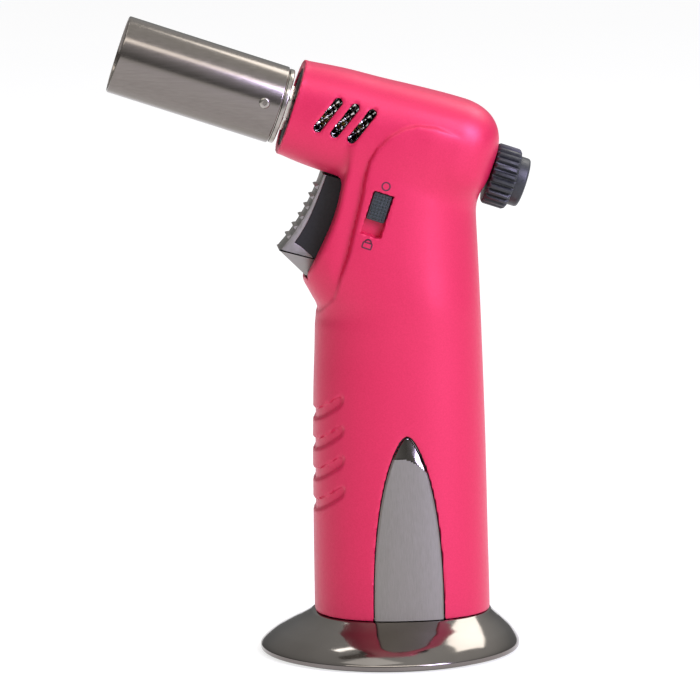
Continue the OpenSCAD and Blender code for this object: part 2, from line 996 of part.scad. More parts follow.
module regulator() {
    color(brass)
        on_head()
            difference() {
                union() {
                    translate([0, 0, regulator_end])
                        cylinder(r = regulator_r, h = -regulator_end);
                    translate([0, 0, inlet_s])
                        rotate([-90, 0, 0])
                            cylinder(r = 1.6, h = inlet_y);
                }
                translate([0, 0, regulator_end - cut])
                    cylinder(r = spindle_r + run_gap, h = 9 + cut);
            }
}

hose_r = 1.3;

// The hose leaves the outlet valve's port, climbs beside the chassis and ends at the regulator's inlet
module gas_hose() {
    end = head_point(inlet_s, 0, inlet_y);
    color("gold")
        sweep(
            curve([
                [cup_x, port_y, port_z], [cup_x, port_y + 1.6, port_z], [cup_x + 0.3, 9.7, port_z + 2.4],
                [cup_x + 1.5, 9.9, port_z + 10], [cup_x + 3, 9.9, port_z + 22],
                [cup_x + 4, 9.9, port_z + 34], [end.x, 9.8, end.z - 7], [end.x, 9.6, end.z - 3],
                [end.x, inlet_y + 2.4, end.z - 0.5], [end.x, inlet_y + 1.2, end.z], end
            ], 5),
            hose_r, 8
        );
}

module jet() {
    color(brass)
        on_head() {
            cylinder(r = mix_inner, h = 4);
            translate([0, 0, 4])
                cylinder(r = 1.2, h = 3);
        }
}

mix_inner = mix_r - 0.9;
mix_start = 1.5;
tube_start = head_front + 3.5;     // rear end of the burner tube
tube_end = tube_start + tube_l;
mix_end = tube_end - 25;

module mixing_tube() {
    color(brass)
        on_head()
            difference() {
                translate([0, 0, mix_start])
                    ring(mix_r, mix_inner, mix_end - mix_start);
                for (a = [0, 90])
                    translate([0, 0, 11])
                        rotate([0, 0, 45 + a])
                            rotate([90, 0, 0])
                                cylinder(r = 1.5, h = 20, center = true);
            }
}

nut_l = 2;
ring_l = 1.5;
ring_r = tube_r - 0.3;

module burner_nut() {
    color(steel)
        on_head(0, 0, head_front)
            difference() {
                rotate([0, 0, 30])
                    cylinder(d = nut_af / cos(30), h = nut_l, $fn = 6);
                translate([0, 0, -cut])
                    cylinder(r = mix_r, h = nut_l + 2 * cut);
            }
}

tube_inner = mouth_r - 0.4;
mouth_l = 12.6;
tube_screw_s = 4.1;                // from the tube's rear end
tube_screw_r = 1.4;

module burner_ring() {
    color(steel)
        on_head(0, 0, head_front + nut_l)
            difference() {
                union() {
                    cylinder(r = ring_r, h = ring_l);
                    cylinder(r = tube_inner, h = ring_l + 7);
                }
                translate([0, 0, -cut])
                    cylinder(r = mix_r, h = 20);
                translate([0, 0, ring_l + 1.2])
                    cylinder(r = tube_inner - 1.6, h = 20);
                translate([0, sleeve_y, -cut])
                    cylinder(r = sleeve_r, h = 20);
                translate([0, 0, tube_screw_s + ring_l])
                    rotate([90, 0, 0])
                        cylinder(r = 0.8, h = 20);
            }
}

module burner_tube() {
    color(gunmetal)
        on_head(0, 0, tube_start)
            difference() {
                cylinder(r = tube_r, h = tube_l);
                translate([0, 0, -cut])
                    cylinder(r = tube_inner, h = tube_l + 2 * cut);
                translate([0, 0, tube_l - mouth_l])
                    cylinder(r = mouth_r, h = mouth_l + cut);
                translate([0, 0, tube_screw_s])
                    rotate([90, 0, 0])
                        cylinder(r = tube_screw_r, h = 20);
            }
}

module tube_screw() {
    color(steel)
        on_head(0, 0, tube_start + tube_screw_s)
            rotate([90, 0, 0])
                difference() {
                    union() {
                        translate([0, 0, tube_inner + 0.05])
                            cylinder(r = tube_screw_r - 0.02, h = tube_r - tube_inner - 0.2);
                        translate([0, 0, tube_inner - 1.5])
                            cylinder(r = 0.78, h = 2);
                    }
                    translate([0, 0, tube_r - 0.7])
                        cylinder(r = 0.45, h = 2, $fn = 6);
                }
}

holder_t = 3;

module flame_holder() {
    color(brass)
        on_head(0, 0, mix_end - holder_t)
            difference() {
                cylinder(r = tube_inner, h = holder_t);
                translate([0, 0, -cut])
                    cylinder(r = mix_r, h = holder_t + 2 * cut);
                for (i = [1:9])
                    rotate([0, 0, 90 + 36 * i])
                        translate([6.8, 0, -cut])
                            cylinder(r = 0.9, h = holder_t + 2 * cut, $fn = 24);
                translate([0, sleeve_y, -cut])
                    cylinder(r = sleeve_r, h = holder_t + 2 * cut);
            }
}

module burner_nozzle() {
    color(steel)
        on_head(0, 0, mix_end) {
            ring(5.4, mix_r, 5);
            translate([0, 0, 1])
                difference() {
                    cylinder(r = mix_r, h = 1.4);
                    for (i = [0:6])
                        rotate([0, 0, 60 * i])
                            translate([i == 6 ? 0 : 2.6, 0, -cut])
                                cylinder(r = 0.8, h = 4, $fn = 24);
                }
        }
}

sleeve_start = 15;
wire_r = 0.45;

module electrode_sleeve() {
    color("white")
        on_head(0, sleeve_y, sleeve_start)
            ring(sleeve_r, wire_r, mix_end + 1 - sleeve_start);
}

module electrode() {
    color(steel)
        on_head(0, sleeve_y, sleeve_start)
            cylinder(r = wire_r, h = mix_end + 6 - sleeve_start);
}

lead_r = 0.8;

// The wire leaves the piezo's rear end and runs forward, high on the right side, to the electrode
module ignition_wire() {
    end = head_point(sleeve_start, 0, sleeve_y);
    start = head_point(piezo_end, piezo_t);
    color("red")
        sweep(
            curve([
                start, start + [1, 0, -0.3], start + [1.6, 1.4, 0.7], start + [1.5, 4.2, 2.6],
                start + [-0.4, 7.6, 5.6], start + [-2, 9, 9], head_point(-14, -9, 9.6),
                head_point(-10, 4, 9.8), head_point(-4, 6.5, 9.2), head_point(3.2, 4.5, sleeve_y - 0.1),
                head_point(9, 2, sleeve_y - 0.2), head_point(12.5, 0.2, sleeve_y), end
            ], 5),
            lead_r, 8
        );
}

// ---- Flame knob ----

cap_l = 2.9;
cap_r = knob_r - 1.5;
rib_h = 0.4;

module knob() {
    color("dimgray")
        on_head(0, 0, -head_rear - free_gap - knob_l)
            difference() {
                linear_extrude(knob_l)
                    polygon([
                        for (i = [0:4 * knob_ribs - 1])
                            let (a = 90 * i / knob_ribs, r = knob_r - (i % 4 < 2 ? 0 : rib_h))
                            [r * cos(a), r * sin(a)]
                    ]);
                translate([0, 0, -cut])
                    cylinder(r = spindle_r, h = knob_l + 2 * cut);
            }
}

module knob_cap() {
    edge = 0.8;
    color("dimgray")
        on_head(0, 0, -head_rear - free_gap - knob_l)
            mirror([0, 0, 1])
                rotate_extrude() {
                    square([cap_r, cap_l - edge]);
                    square([cap_r - edge, cap_l]);
                    translate([cap_r - edge, cap_l - edge])
                        intersection() {
                            circle(r = edge);
                            square(edge);
                        }
                }
}

module knob_spindle() {
    color(brass)
        on_head(0, 0, -head_rear - free_gap - knob_l)
            cylinder(r = spindle_r, h = head_rear + free_gap + knob_l + regulator_end + 7);
}

base_foot();
base_pad();
base_screws();
filler_cup();
filler_valve();
filler_cap();
filler_seal();
filler_spring();
filler_stem();
floor_plate();
fuel_tank();
tank_lid();
outlet_valve();
valve_seal();
valve_stem();
valve_lever();
lever_pin();
chassis();
piezo_igniter();
piezo_plunger();
trigger_body();
trigger_face();
casing_left();
casing_right();
case_screws();
plate_left();
plate_right();
lock_button();
lock_carrier();
front_plate();
vent_mesh_left();
vent_mesh_right();
regulator();
gas_hose();
jet();
mixing_tube();
burner_nut();
burner_ring();
burner_tube();
tube_screw();
flame_holder();
burner_nozzle();
electrode();
electrode_sleeve();
ignition_wire();
knob();
knob_cap();
knob_spindle();
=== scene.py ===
"""A table-top butane torch: a satin pink two-part casing on a chromed foot, with a
brushed burner tube in front, a ribbed flame knob behind, a trigger and a lock slide.
Sizes are in millimetres; each mesh is scaled to metres as it is made."""
import json
import math
import bmesh
import bpy
import numpy as np
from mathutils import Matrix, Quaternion, Vector


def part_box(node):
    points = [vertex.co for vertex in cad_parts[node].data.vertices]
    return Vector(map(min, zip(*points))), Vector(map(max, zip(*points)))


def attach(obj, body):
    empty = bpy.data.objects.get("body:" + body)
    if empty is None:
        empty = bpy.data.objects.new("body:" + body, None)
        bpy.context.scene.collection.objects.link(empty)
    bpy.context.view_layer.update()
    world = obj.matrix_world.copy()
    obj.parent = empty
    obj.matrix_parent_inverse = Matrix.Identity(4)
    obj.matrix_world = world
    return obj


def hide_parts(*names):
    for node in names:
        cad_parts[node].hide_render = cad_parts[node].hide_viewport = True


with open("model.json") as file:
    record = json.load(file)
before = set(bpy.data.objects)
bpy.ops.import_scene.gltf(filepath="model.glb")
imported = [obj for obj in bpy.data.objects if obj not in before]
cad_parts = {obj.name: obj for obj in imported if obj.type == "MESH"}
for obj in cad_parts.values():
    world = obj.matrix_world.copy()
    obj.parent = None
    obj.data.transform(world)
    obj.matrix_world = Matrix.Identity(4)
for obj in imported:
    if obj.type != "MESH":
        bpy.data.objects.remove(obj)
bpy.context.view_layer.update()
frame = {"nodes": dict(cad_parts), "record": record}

MM = 0.001
LEFT, RIGHT = -1, 1
SLOT_OF = {part["node"]: part["material_slot"] for part in frame["record"]["subparts"]}

# ---- Driving sizes: the foot's are the frame's, s and t are along and across the head ----

FOOT_LOW, FOOT_HIGH = (np.array(corner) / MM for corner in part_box("base_foot"))
FOOT_R = min(FOOT_HIGH[0] - FOOT_LOW[0], FOOT_HIGH[1] - FOOT_LOW[1]) / 2
FOOT_H = FOOT_HIGH[2]
HEAD_Z = 131.3                       # where the head's axis crosses the foot's axis
TILT = math.radians(18.8)            # the head's axis above level
HEAD_RIM = 25.15                     # the casing's front edge, a little past the plate in its mouth
HEAD_REAR = -28.2
BODY_SQUARE, HEAD_SQUARE = 2.3, 2.55  # how square the handle's and the head's ovals are
WALL = 2.2
PARTING = 0.07                       # each half stops this far from the middle plane
TUBE_S, TUBE_L, TUBE_R, MOUTH_R = 28.2, 42.4, 10.0, 9.4
PLATE_X, PLATE_W, PLATE_H = 3.6, 17.6, 47.0
SLOT_S, SLOT_T, SLOT_L, SLOT_W, SLOT_FLOOR = -2.8, -17.8, 11.2, 5.2, 13.2
VENT_S, VENT_T, VENT_PITCH, VENT_L, VENT_W = 11.9, 2.05, 4.45, 10.4, 2.1
VENT_LEAN = math.radians(21)
TRIGGER_TOP, TRIGGER_BOTTOM, TRIGGER_W = -12.8, -39.1, 11.4
COLLAR_S, NECK_S = 26.7, 24.7        # the rear ends of the burner's collar and of its neck nut
KNOB_END = -34.7                     # where the ribbed knob ends and its cap begins
SIDES = 144                          # round a large turned piece
SCREWS = [(-12.0, 82.5), (19.0, 91.0)]
HEAD_SCREWS = [(-20.0, 8.5), (17.5, -7.5)]


# ---- Curves, fields and blends ----

def through(x, xs, ys):
    """A smooth curve through the points (xs, ys): a cubic between neighbours, whose
    slope at each point is the one of its two neighbours; level past both ends."""
    xs, ys = np.asarray(xs, float), np.asarray(ys, float)
    slope = np.gradient(ys, xs)
    i = np.clip(np.searchsorted(xs, x) - 1, 0, len(xs) - 2)
    h = xs[i + 1] - xs[i]
    u = np.clip((x - xs[i]) / h, 0, 1)
    return ((1 + 2 * u) * (1 - u) ** 2 * ys[i] + u * (1 - u) ** 2 * h * slope[i]
            + u * u * (3 - 2 * u) * ys[i + 1] + u * u * (u - 1) * h * slope[i + 1])


def ramp(x, start, end):
    """0 before start and 1 after end, with a smooth rise of 3u² − 2u³ between them."""
    u = np.clip((x - start) / (end - start), 0, 1)
    return u * u * (3 - 2 * u)


def join(a, b, soft):
    """The union of two fields, with a fillet about as wide as soft."""
    h = np.maximum(soft - np.abs(a - b), 0)
    return np.minimum(a, b) - h * h / (4 * soft)


def keep(a, b, soft):
    """The common part of two fields, with its edge eased by about soft."""
    return -join(-a, -b, soft)


def oval_field(u, v, half_u, half_v, square):
    """How far (u, v) is past an oval, measured along its ray from the middle: r − r/q
    with q = ((|u|/half_u)^square + (|v|/half_v)^square)^(1/square)."""
    q = ((np.abs(u) / half_u) ** square + (np.abs(v) / half_v) ** square) ** (1 / square)
    r = np.sqrt(u * u + v * v)
    return r - r / np.maximum(q, 1e-6)


def outline_field(x, z, points):
    """The distance from a closed outline, below 0 inside it: the least distance from
    its straight pieces, with the sign of how often a ray crosses them."""
    nearest = np.full(np.broadcast(x, z).shape, 1e9)
    inside = np.zeros(nearest.shape, bool)
    for (ax, az), (bx, bz) in zip(points, np.roll(points, -1, axis=0)):
        along = np.clip(((x - ax) * (bx - ax) + (z - az) * (bz - az))
                        / ((bx - ax) ** 2 + (bz - az) ** 2), 0, 1)
        nearest = np.minimum(nearest, np.hypot(x - ax - along * (bx - ax), z - az - along * (bz - az)))
        if az != bz:
            inside ^= ((az > z) != (bz > z)) & (x < ax + (z - az) * (bx - ax) / (bz - az))
    return np.where(inside, -nearest, nearest)


def to_head(x, z):
    """(s, t): s along the head's axis towards the burner and t up across it."""
    up = z - HEAD_Z
    return -x * math.cos(TILT) + up * math.sin(TILT), x * math.sin(TILT) + up * math.cos(TILT)


def from_head(s, t, y):
    """Points at s, t and y as rows of x, y, z."""
    s, t, y = np.broadcast_arrays(np.asarray(s, float), np.asarray(t, float), np.asarray(y, float))
    return np.stack([t * math.sin(TILT) - s * math.cos(TILT), y,
                     HEAD_Z + s * math.sin(TILT) + t * math.cos(TILT)], axis=-1)


# ---- The casing ----

# the head's top, underside and half width along its axis
HEAD_AT = (-28, -20, -12, -4, 5, 15, 24)
HEAD_TOP = (16.1, 16.0, 15.8, 15.3, 14.6, 14.0, 12.95)
HEAD_UNDER = (-11.0, -11.6, -12.4, -13.0, -13.0, -12.6, -11.75)
HEAD_HALF = (14.4, 14.8, 14.7, 14.3, 13.5, 12.5, 11.5)
# the handle's and column's front, rear and half width up the body
BODY_AT = (4, 12, 31, 57, 76, 84, 88, 89.5, 92, 95.5, 99, 104)
BODY_FRONT = (-19.2, -19.2, -19.2, -19.0, -18.4, -17.8, -17.4, -17.7, -19.0, -20.9, -22.8, -24.4)
REAR_AT = (4, 12, 31, 57, 76, 89, 105, 111, 116, 124)
BODY_REAR = (25.7, 25.7, 25.4, 25.0, 24.5, 24.1, 23.5, 23.25, 23.2, 22.6)
HALF_AT = (4, 12, 48, 86, 100, 112, 124, 134)
BODY_HALF = (18.85, 18.8, 17.8, 16.7, 16.0, 15.3, 14.7, 13.6)
# where the side walls end round the trigger
OPENING_AT = (-50, -41.5, -37.9, -30.8, -21.6, -11.4, -4)
OPENING = (9.4, 9.1, 8.5, 7.4, 6.6, 7.4, 7.8)
# the raised side panel: its edge runs up from the beak and arches over under the head
PANEL_EDGE = np.array([
    (-17.8, 87.6), (-14, 92.2), (-12.1, 98.2), (-10, 104), (-8.9, 108.6), (-7.5, 114), (-6.4, 118.4),
    (-5.7, 122.4), (-4.6, 126.8), (-2.9, 129.7), (0.5, 133), (3.9, 134.8), (7.4, 135.6), (12.2, 134.9),
    (17.4, 132.7), (23, 129), (60, 110), (60, 60), (-60, 60), (-60, 87)])
PANEL_RISE = 0.7
SHROUD_HALF = 13.5                   # the flat side walls beside the trigger
GROOVES = (61.4, 53.6, 45.8, 38.0)   # heights of the grip grooves at the handle's front


def body_section(z):
    """The body's front, rear and half width at a height."""
    return through(z, BODY_AT, BODY_FRONT), through(z, REAR_AT, BODY_REAR), through(z, HALF_AT, BODY_HALF)


def body_field(x, y, z):
    """The handle and the column over it: an oval at each height, between its front and
    its rear, cut flat beside the trigger and cut off along the trigger's opening."""
    front, rear, half = body_section(z)
    round_body = oval_field(x - (front + rear) / 2, y, (rear - front) / 2, half, BODY_SQUARE)
    s, t = to_head(x, z)
    in_panel = ramp(-outline_field(x, z, PANEL_EDGE), -0.3, 0.5) + 1 - ramp(z, 84, 92)
    flank = y - SHROUD_HALF - 9 * np.minimum(in_panel, 1)
    return keep(keep(round_body, flank, 0.9), s - through(t, OPENING_AT, OPENING), 1.2)


def head_tube_field(x, y, z):
    """The head without its front end: an oval across its axis, rounded off behind."""
    s, t = to_head(x, z)
    top, under = through(s, HEAD_AT, HEAD_TOP), through(s, HEAD_AT, HEAD_UNDER)
    half = through(s, HEAD_AT, HEAD_HALF)
    oval = oval_field(t - (top + under) / 2, y, (top - under) / 2, half, HEAD_SQUARE)
    return keep(oval, HEAD_REAR - s, 12.0)


def plate_half(share):
    """Half the name plate's width at a share of its height: straight sides that curve
    in to a blunt point, (1 − share^2.4)^0.65 of the half width."""
    return PLATE_W / 2 * (1 - np.clip(share, 0, 1) ** 2.4) ** 0.65


def plate_outline(grow):
    """The plate's outline in the side view, grown by a margin, with a point at the top."""
    share = np.concatenate([np.linspace(0, 0.9, 13), [0.94, 0.97, 0.985, 0.995]])
    up = np.stack([plate_half(share) + grow, FOOT_H + share * (PLATE_H + grow)], axis=1)
    tip = [[0, FOOT_H + PLATE_H + grow]]
    low = [[PLATE_W / 2 + grow, FOOT_H - 8]]
    down = up[::-1] * [-1, 1]
    both = np.concatenate([low, up, tip, down, [[-PLATE_W / 2 - grow, FOOT_H - 8]]])
    return both + [PLATE_X, 0]


def outside_field(x, y, z):
    """The whole outer form of the casing, without its cut-outs."""
    s, t = to_head(x, z)
    head = keep(head_tube_field(x, y, z), s - HEAD_RIM, 0.4)
    body = keep(body_field(x, y, z), t - 8.0, 10.0)
    return keep(join(head, body, 2.6), FOOT_H + 0.12 - z, 0.5)


def panel_rise(x, z):
    """How far the side panel stands proud at (x, z): a full step inside its edge that
    fades towards the rear and down the handle."""
    step = ramp(-outline_field(x, z, PANEL_EDGE), -0.35, 0.35)
    return PANEL_RISE * step * ramp(z, 74, 94) * (1 - ramp(x, 9, 20))


def groove_depth(x, z):
    """How deep the grip grooves are at (x, z): each rises from the front towards the
    side and ends in a round."""
    front = through(z, BODY_AT, BODY_FRONT)
    deep = 0
    for height in GROOVES:
        across = (z - height - 0.8 * (x - front)) * 0.78
        past = np.maximum(x + 13.2, 0)
        deep = deep + 0.65 * (1 - ramp(np.hypot(across, past), 0.9, 1.3))
    return deep


def painted_field(x, y, z):
    """The lacquered skin: the outer form with its raised panel and its grip grooves."""
    return outside_field(x, y, z) - panel_rise(x, z) + groove_depth(x, z)


def stadium_field(along, across, length, width):
    """The distance from a slot with round ends."""
    return np.hypot(np.maximum(np.abs(along) - (length - width) / 2, 0), across) - width / 2


def box_field(*sides):
    """The largest of a few distances past the sides of a box."""
    out = sides[0]
    for side in sides[1:]:
        out = np.maximum(out, side)
    return out


def casing_field(side):
    """The field of one half of the casing, below 0 in its plastic. y counts outwards
    from the middle plane, so the left half is mirrored after it is made."""
    trigger_gap = 0.5
    plate_gap, plate_recess = 0.28, 1.05
    post_r, well_r, well_floor = 2.9, 2.4, 9.0
    slot_wall = 1.0
    spindle_r = 4
    seat = plate_outline(plate_gap)
    posts = SCREWS + [tuple(from_head(s, t, 0)[[0, 2]]) for s, t in HEAD_SCREWS]

    def field(x, y, z):
        s, t = to_head(x, z)
        skin = painted_field(x, y, z)
        # the recess that the name plate lies in
        recess = np.maximum(outline_field(x, z, seat), -(outside_field(x, y, z) + plate_recess))
        skin = keep(skin, -recess, 0.25)
        # the vents
        for i in (-1, 0, 1):
            ds, dt = s - VENT_S - i * VENT_PITCH, t - VENT_T
            along = dt * math.cos(VENT_LEAN) - ds * math.sin(VENT_LEAN)
            across = ds * math.cos(VENT_LEAN) + dt * math.sin(VENT_LEAN)
            skin = keep(skin, -np.maximum(stadium_field(along, across, VENT_L, VENT_W), 4 - y), 0.5)
        # the lock's slot
        in_slot = np.maximum(np.abs(s - SLOT_S) - SLOT_W / 2, np.abs(t - SLOT_T) - SLOT_L / 2)
        if side == LEFT:
            skin = keep(skin, -np.maximum(in_slot, SLOT_FLOOR - y), 0.3)
        # the hollow inside, less the screws' posts and the slot's own floor and walls
        hollow_head = head_tube_field(x, y, z)
        hollow_body = keep(body_field(x, y, z), t - 4.0, 4.0)
        hollow = np.minimum(hollow_head, hollow_body) + WALL
        for post_x, post_z in posts:
            post = np.hypot(x - post_x, z - post_z)
            hollow = np.maximum(hollow, post_r - post)
            if side == RIGHT:
                skin = keep(skin, -np.maximum(post - well_r, well_floor - y), 0.4)
        if side == LEFT:
            hollow = np.maximum(hollow, -np.maximum(in_slot - slot_wall, SLOT_FLOOR - 1.2 - y))
        skin = keep(skin, -hollow, 0.3)
        # the trigger's pocket and the knob's spindle hole
        pocket = box_field(t - TRIGGER_TOP - trigger_gap, TRIGGER_BOTTOM - t, -13 - s,
                           y - TRIGGER_W / 2 - trigger_gap)
        skin = keep(skin, -pocket, 0.3)
        spindle = np.maximum(np.hypot(t, y) - spindle_r, s + 20)
        skin = keep(skin, -spindle, 0.3)
        return keep(skin, PARTING - y, 0.25)

    return field


# ---- Meshes ----

def surface_net(field, low, high, step):
    """The zero surface of a field as points and quads. Each cell that it crosses holds
    one point, the mean of the crossings of the cell's edges, which Newton's steps then
    draw on to the surface. Each grid edge that it crosses joins its four cells."""
    axes = [np.arange(a, b + step, step) for a, b in zip(low, high)]
    grid = np.meshgrid(*axes, indexing="ij", sparse=True)
    value = np.broadcast_to(field(*grid), [len(a) for a in axes])
    inside = value < 0
    cells = np.array(value.shape) - 1
    corners = [np.array((i, j, k)) for i in (0, 1) for j in (0, 1) for k in (0, 1)]
    filled = sum(inside[i:i + cells[0], j:j + cells[1], k:k + cells[2]].astype(np.int8)
                 for i, j, k in corners)
    cell = np.argwhere((filled > 0) & (filled < 8))
    index = np.full(cells, -1)
    index[tuple(cell.T)] = np.arange(len(cell))
    total, hits = np.zeros((len(cell), 3)), np.zeros(len(cell))
    for axis in range(3):
        unit = np.eye(3, dtype=int)[axis]
        for corner in corners:
            if corner[axis]:
                continue
            a = cell + corner
            va, vb = value[tuple(a.T)], value[tuple((a + unit).T)]
            crossed = (va < 0) != (vb < 0)
            share = np.where(crossed, va / np.where(crossed, va - vb, 1), 0)
            total += (a + share[:, None] * unit) * crossed[:, None]
            hits += crossed
    points = np.array(low) + step * total / hits[:, None]
    reach, nudge = 0.45 * step, 0.04
    start = points.copy()
    for _ in range(4):
        here = field(*points.T)
        slope = np.stack([(field(*(points + nudge * e).T) - field(*(points - nudge * e).T)) / (2 * nudge)
                          for e in np.eye(3)], axis=1)
        points = points - (here / np.maximum((slope ** 2).sum(1), 0.05))[:, None] * slope
        points = start + np.clip(points - start, -reach, reach)
    quads = []
    for axis in range(3):
        b, c = np.eye(3, dtype=int)[(axis + 1) % 3], np.eye(3, dtype=int)[(axis + 2) % 3]
        ahead = np.roll(inside, -1, axis=axis)
        edge = np.argwhere(inside != ahead)
        other = [(axis + 1) % 3, (axis + 2) % 3]
        edge = edge[(edge[:, axis] < cells[axis]) & (edge[:, other] > 0).all(1)
                    & (edge[:, other] < cells[other]).all(1)]
        quad = np.stack([index[tuple((edge - d).T)] for d in (0 * b, b, b + c, c)], axis=1)
        outward = inside[tuple(edge.T)]
        quads.append(np.where(outward[:, None], quad, quad[:, ::-1]))
    return points, np.concatenate(quads)


def finished(name, points, faces, material, node, body="root", replaced=True, crease=35, merge=True):
    """A new piece from points in millimetres and faces: doubles merged, faces turned
    outwards, smooth but for edges sharper than crease. It rides on its body, takes the
    material it is given and, where it is that node's whole shape, replaces it."""
    mesh = bpy.data.meshes.new(name)
    points = np.asarray(points, float).reshape(-1, 3) * MM
    mesh.from_pydata(points, [], faces.tolist() if isinstance(faces, np.ndarray) else faces)
    work = bmesh.new()
    work.from_mesh(mesh)
    if merge:
        bmesh.ops.remove_doubles(work, verts=work.verts, dist=2e-6)
        bmesh.ops.dissolve_degenerate(work, edges=work.edges, dist=1e-7)
    if work.calc_volume(signed=True) < 0:
        bmesh.ops.reverse_faces(work, faces=work.faces)
    work.to_mesh(mesh)
    work.free()
    mesh.polygons.foreach_set("use_smooth", np.ones(len(mesh.polygons), bool))
    mesh.set_sharp_from_angle(angle=math.radians(crease))
    mesh.materials.append(material)
    piece = bpy.data.objects.new(name, mesh)
    bpy.context.collection.objects.link(piece)
    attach(piece, body)
    if replaced:
        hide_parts(node)
    return piece


def sheet_faces(rows, columns, round_rows=False, round_columns=False):
    """The quads of a grid of points, rows by columns, closed on itself where asked."""
    i = np.arange(rows if round_rows else rows - 1)[:, None]
    j = np.arange(columns if round_columns else columns - 1)[None, :]
    ni, nj = (i + 1) % rows, (j + 1) % columns
    return np.stack([i * columns + j, i * columns + nj, ni * columns + nj, ni * columns + j],
                    axis=-1).reshape(-1, 4)


def eased(corners, cuts, steps=6):
    """A profile whose corners are rounded: each corner gives way to a parabola between
    the points one cut before it and one cut after it."""
    p = np.asarray(corners, float)
    c = np.broadcast_to(np.asarray(cuts, float), len(p))[:, None]
    before = np.roll(p, 1, axis=0) - p
    after = np.roll(p, -1, axis=0) - p
    before, after = (v / np.maximum(np.linalg.norm(v, axis=1, keepdims=True), 1e-9) for v in (before, after))
    u = np.linspace(0, 1, steps)[None, :, None]
    start, end = (p + c * before)[:, None], (p + c * after)[:, None]
    curve = (1 - u) ** 2 * start + 2 * u * (1 - u) * p[:, None] + u * u * end
    return curve.reshape(-1, p.shape[1])


def lathe(profile, sides):
    """A closed profile of (s, r) turned about the head's axis."""
    angle = np.linspace(0, 2 * math.pi, sides, endpoint=False)
    s, r = np.asarray(profile, float).T
    points = from_head(s[:, None], r[:, None] * np.cos(angle), r[:, None] * np.sin(angle))
    return points, sheet_faces(len(s), sides, True, True)


def prism(outline, half, ease, place, steps=4):
    """An outline carried across from −half to half, its ends eased: near each end the
    outline draws in along its normals by a quarter round. Both ends are single faces."""
    outline = np.asarray(outline, float)
    along = np.roll(outline, -1, axis=0) - np.roll(outline, 1, axis=0)
    area = np.cross(outline, np.roll(outline, -1, axis=0)).sum()
    inward = np.stack([-along[:, 1], along[:, 0]], axis=1) * np.sign(area)
    inward /= np.linalg.norm(inward, axis=1, keepdims=True)
    turn = np.linspace(0, math.pi / 2, steps)
    drawn_in, from_end = ease * (1 - np.sin(turn)), ease * (1 - np.cos(turn))
    depth = np.concatenate([drawn_in, drawn_in[::-1]])
    level = np.concatenate([-half + from_end, (half - from_end)[::-1]])
    rings = outline[None] + inward[None] * depth[:, None, None]
    points = place(rings[..., 0], rings[..., 1], level[:, None])
    return capped(points)


def capped(rings):
    """Rings of points as a closed tube, with one face over each end."""
    count = rings.shape[1]
    faces = sheet_faces(len(rings), count, False, True).tolist()
    last = (len(rings) - 1) * count
    return rings, faces + [list(range(count))[::-1], list(range(last, last + count))]


def two_sided(outer, inner):
    """Two grids of the same size, joined along their rims into one closed plate."""
    rows, columns = outer.shape[:2]
    count = rows * columns
    grid = np.arange(count).reshape(rows, columns)
    rim = np.concatenate([grid[0, :-1], grid[:-1, -1], grid[-1, :0:-1], grid[:0:-1, 0]])
    after = np.roll(rim, -1)
    walls = np.stack([rim, rim + count, after + count, after], axis=1)
    top = sheet_faces(rows, columns)
    faces = np.concatenate([top, top[:, ::-1] + count, walls])
    return np.concatenate([outer.reshape(-1, 3), inner.reshape(-1, 3)]), faces


def wires(paths, radius, sides=6):
    """Round wires along many paths at once, an array of (wires, points, 3), closed at
    both ends by drawing the last rings in to a point."""
    paths = np.asarray(paths, float)
    run = np.gradient(paths, axis=1)
    run /= np.linalg.norm(run, axis=2, keepdims=True)
    across = np.cross(run, [0.31, 0.93, 0.17])
    across /= np.linalg.norm(across, axis=2, keepdims=True)
    lift = np.cross(run, across)
    size = np.full(paths.shape[1], float(radius))
    size[[0, -1]] = 0
    angle = np.linspace(0, 2 * math.pi, sides, endpoint=False)[:, None]
    ring = (paths[:, :, None] + size[:, None, None]
            * (np.cos(angle) * across[:, :, None] + np.sin(angle) * lift[:, :, None]))
    one = sheet_faces(paths.shape[1], sides, False, True)
    faces = (one[None] + np.arange(len(paths))[:, None, None] * paths.shape[1] * sides).reshape(-1, 4)
    return ring.reshape(-1, 3), faces


# ---- Finishes ----

def tint(red, green, blue):
    """A colour given by its display values from 0 to 255, as the shader wants it."""
    c = np.array([red, green, blue]) / 255
    return (*np.where(c <= 0.04045, c / 12.92, ((c + 0.055) / 1.055) ** 2.4).tolist(), 1.0)


def set_stops(band, stops):
    """Fill a colour ramp with (position, colour) stops."""
    while len(band.color_ramp.elements) < len(stops):
        band.color_ramp.elements.new(0.5)
    for element, (position, colour) in zip(band.color_ramp.elements, stops):
        element.position = position
        element.color = colour


def set_range(node, *limits):
    """A Map Range node's four limits: from the first two to the last two."""
    for socket, value in zip(("From Min", "From Max", "To Min", "To Max"), limits):
        node.inputs[socket].default_value = value


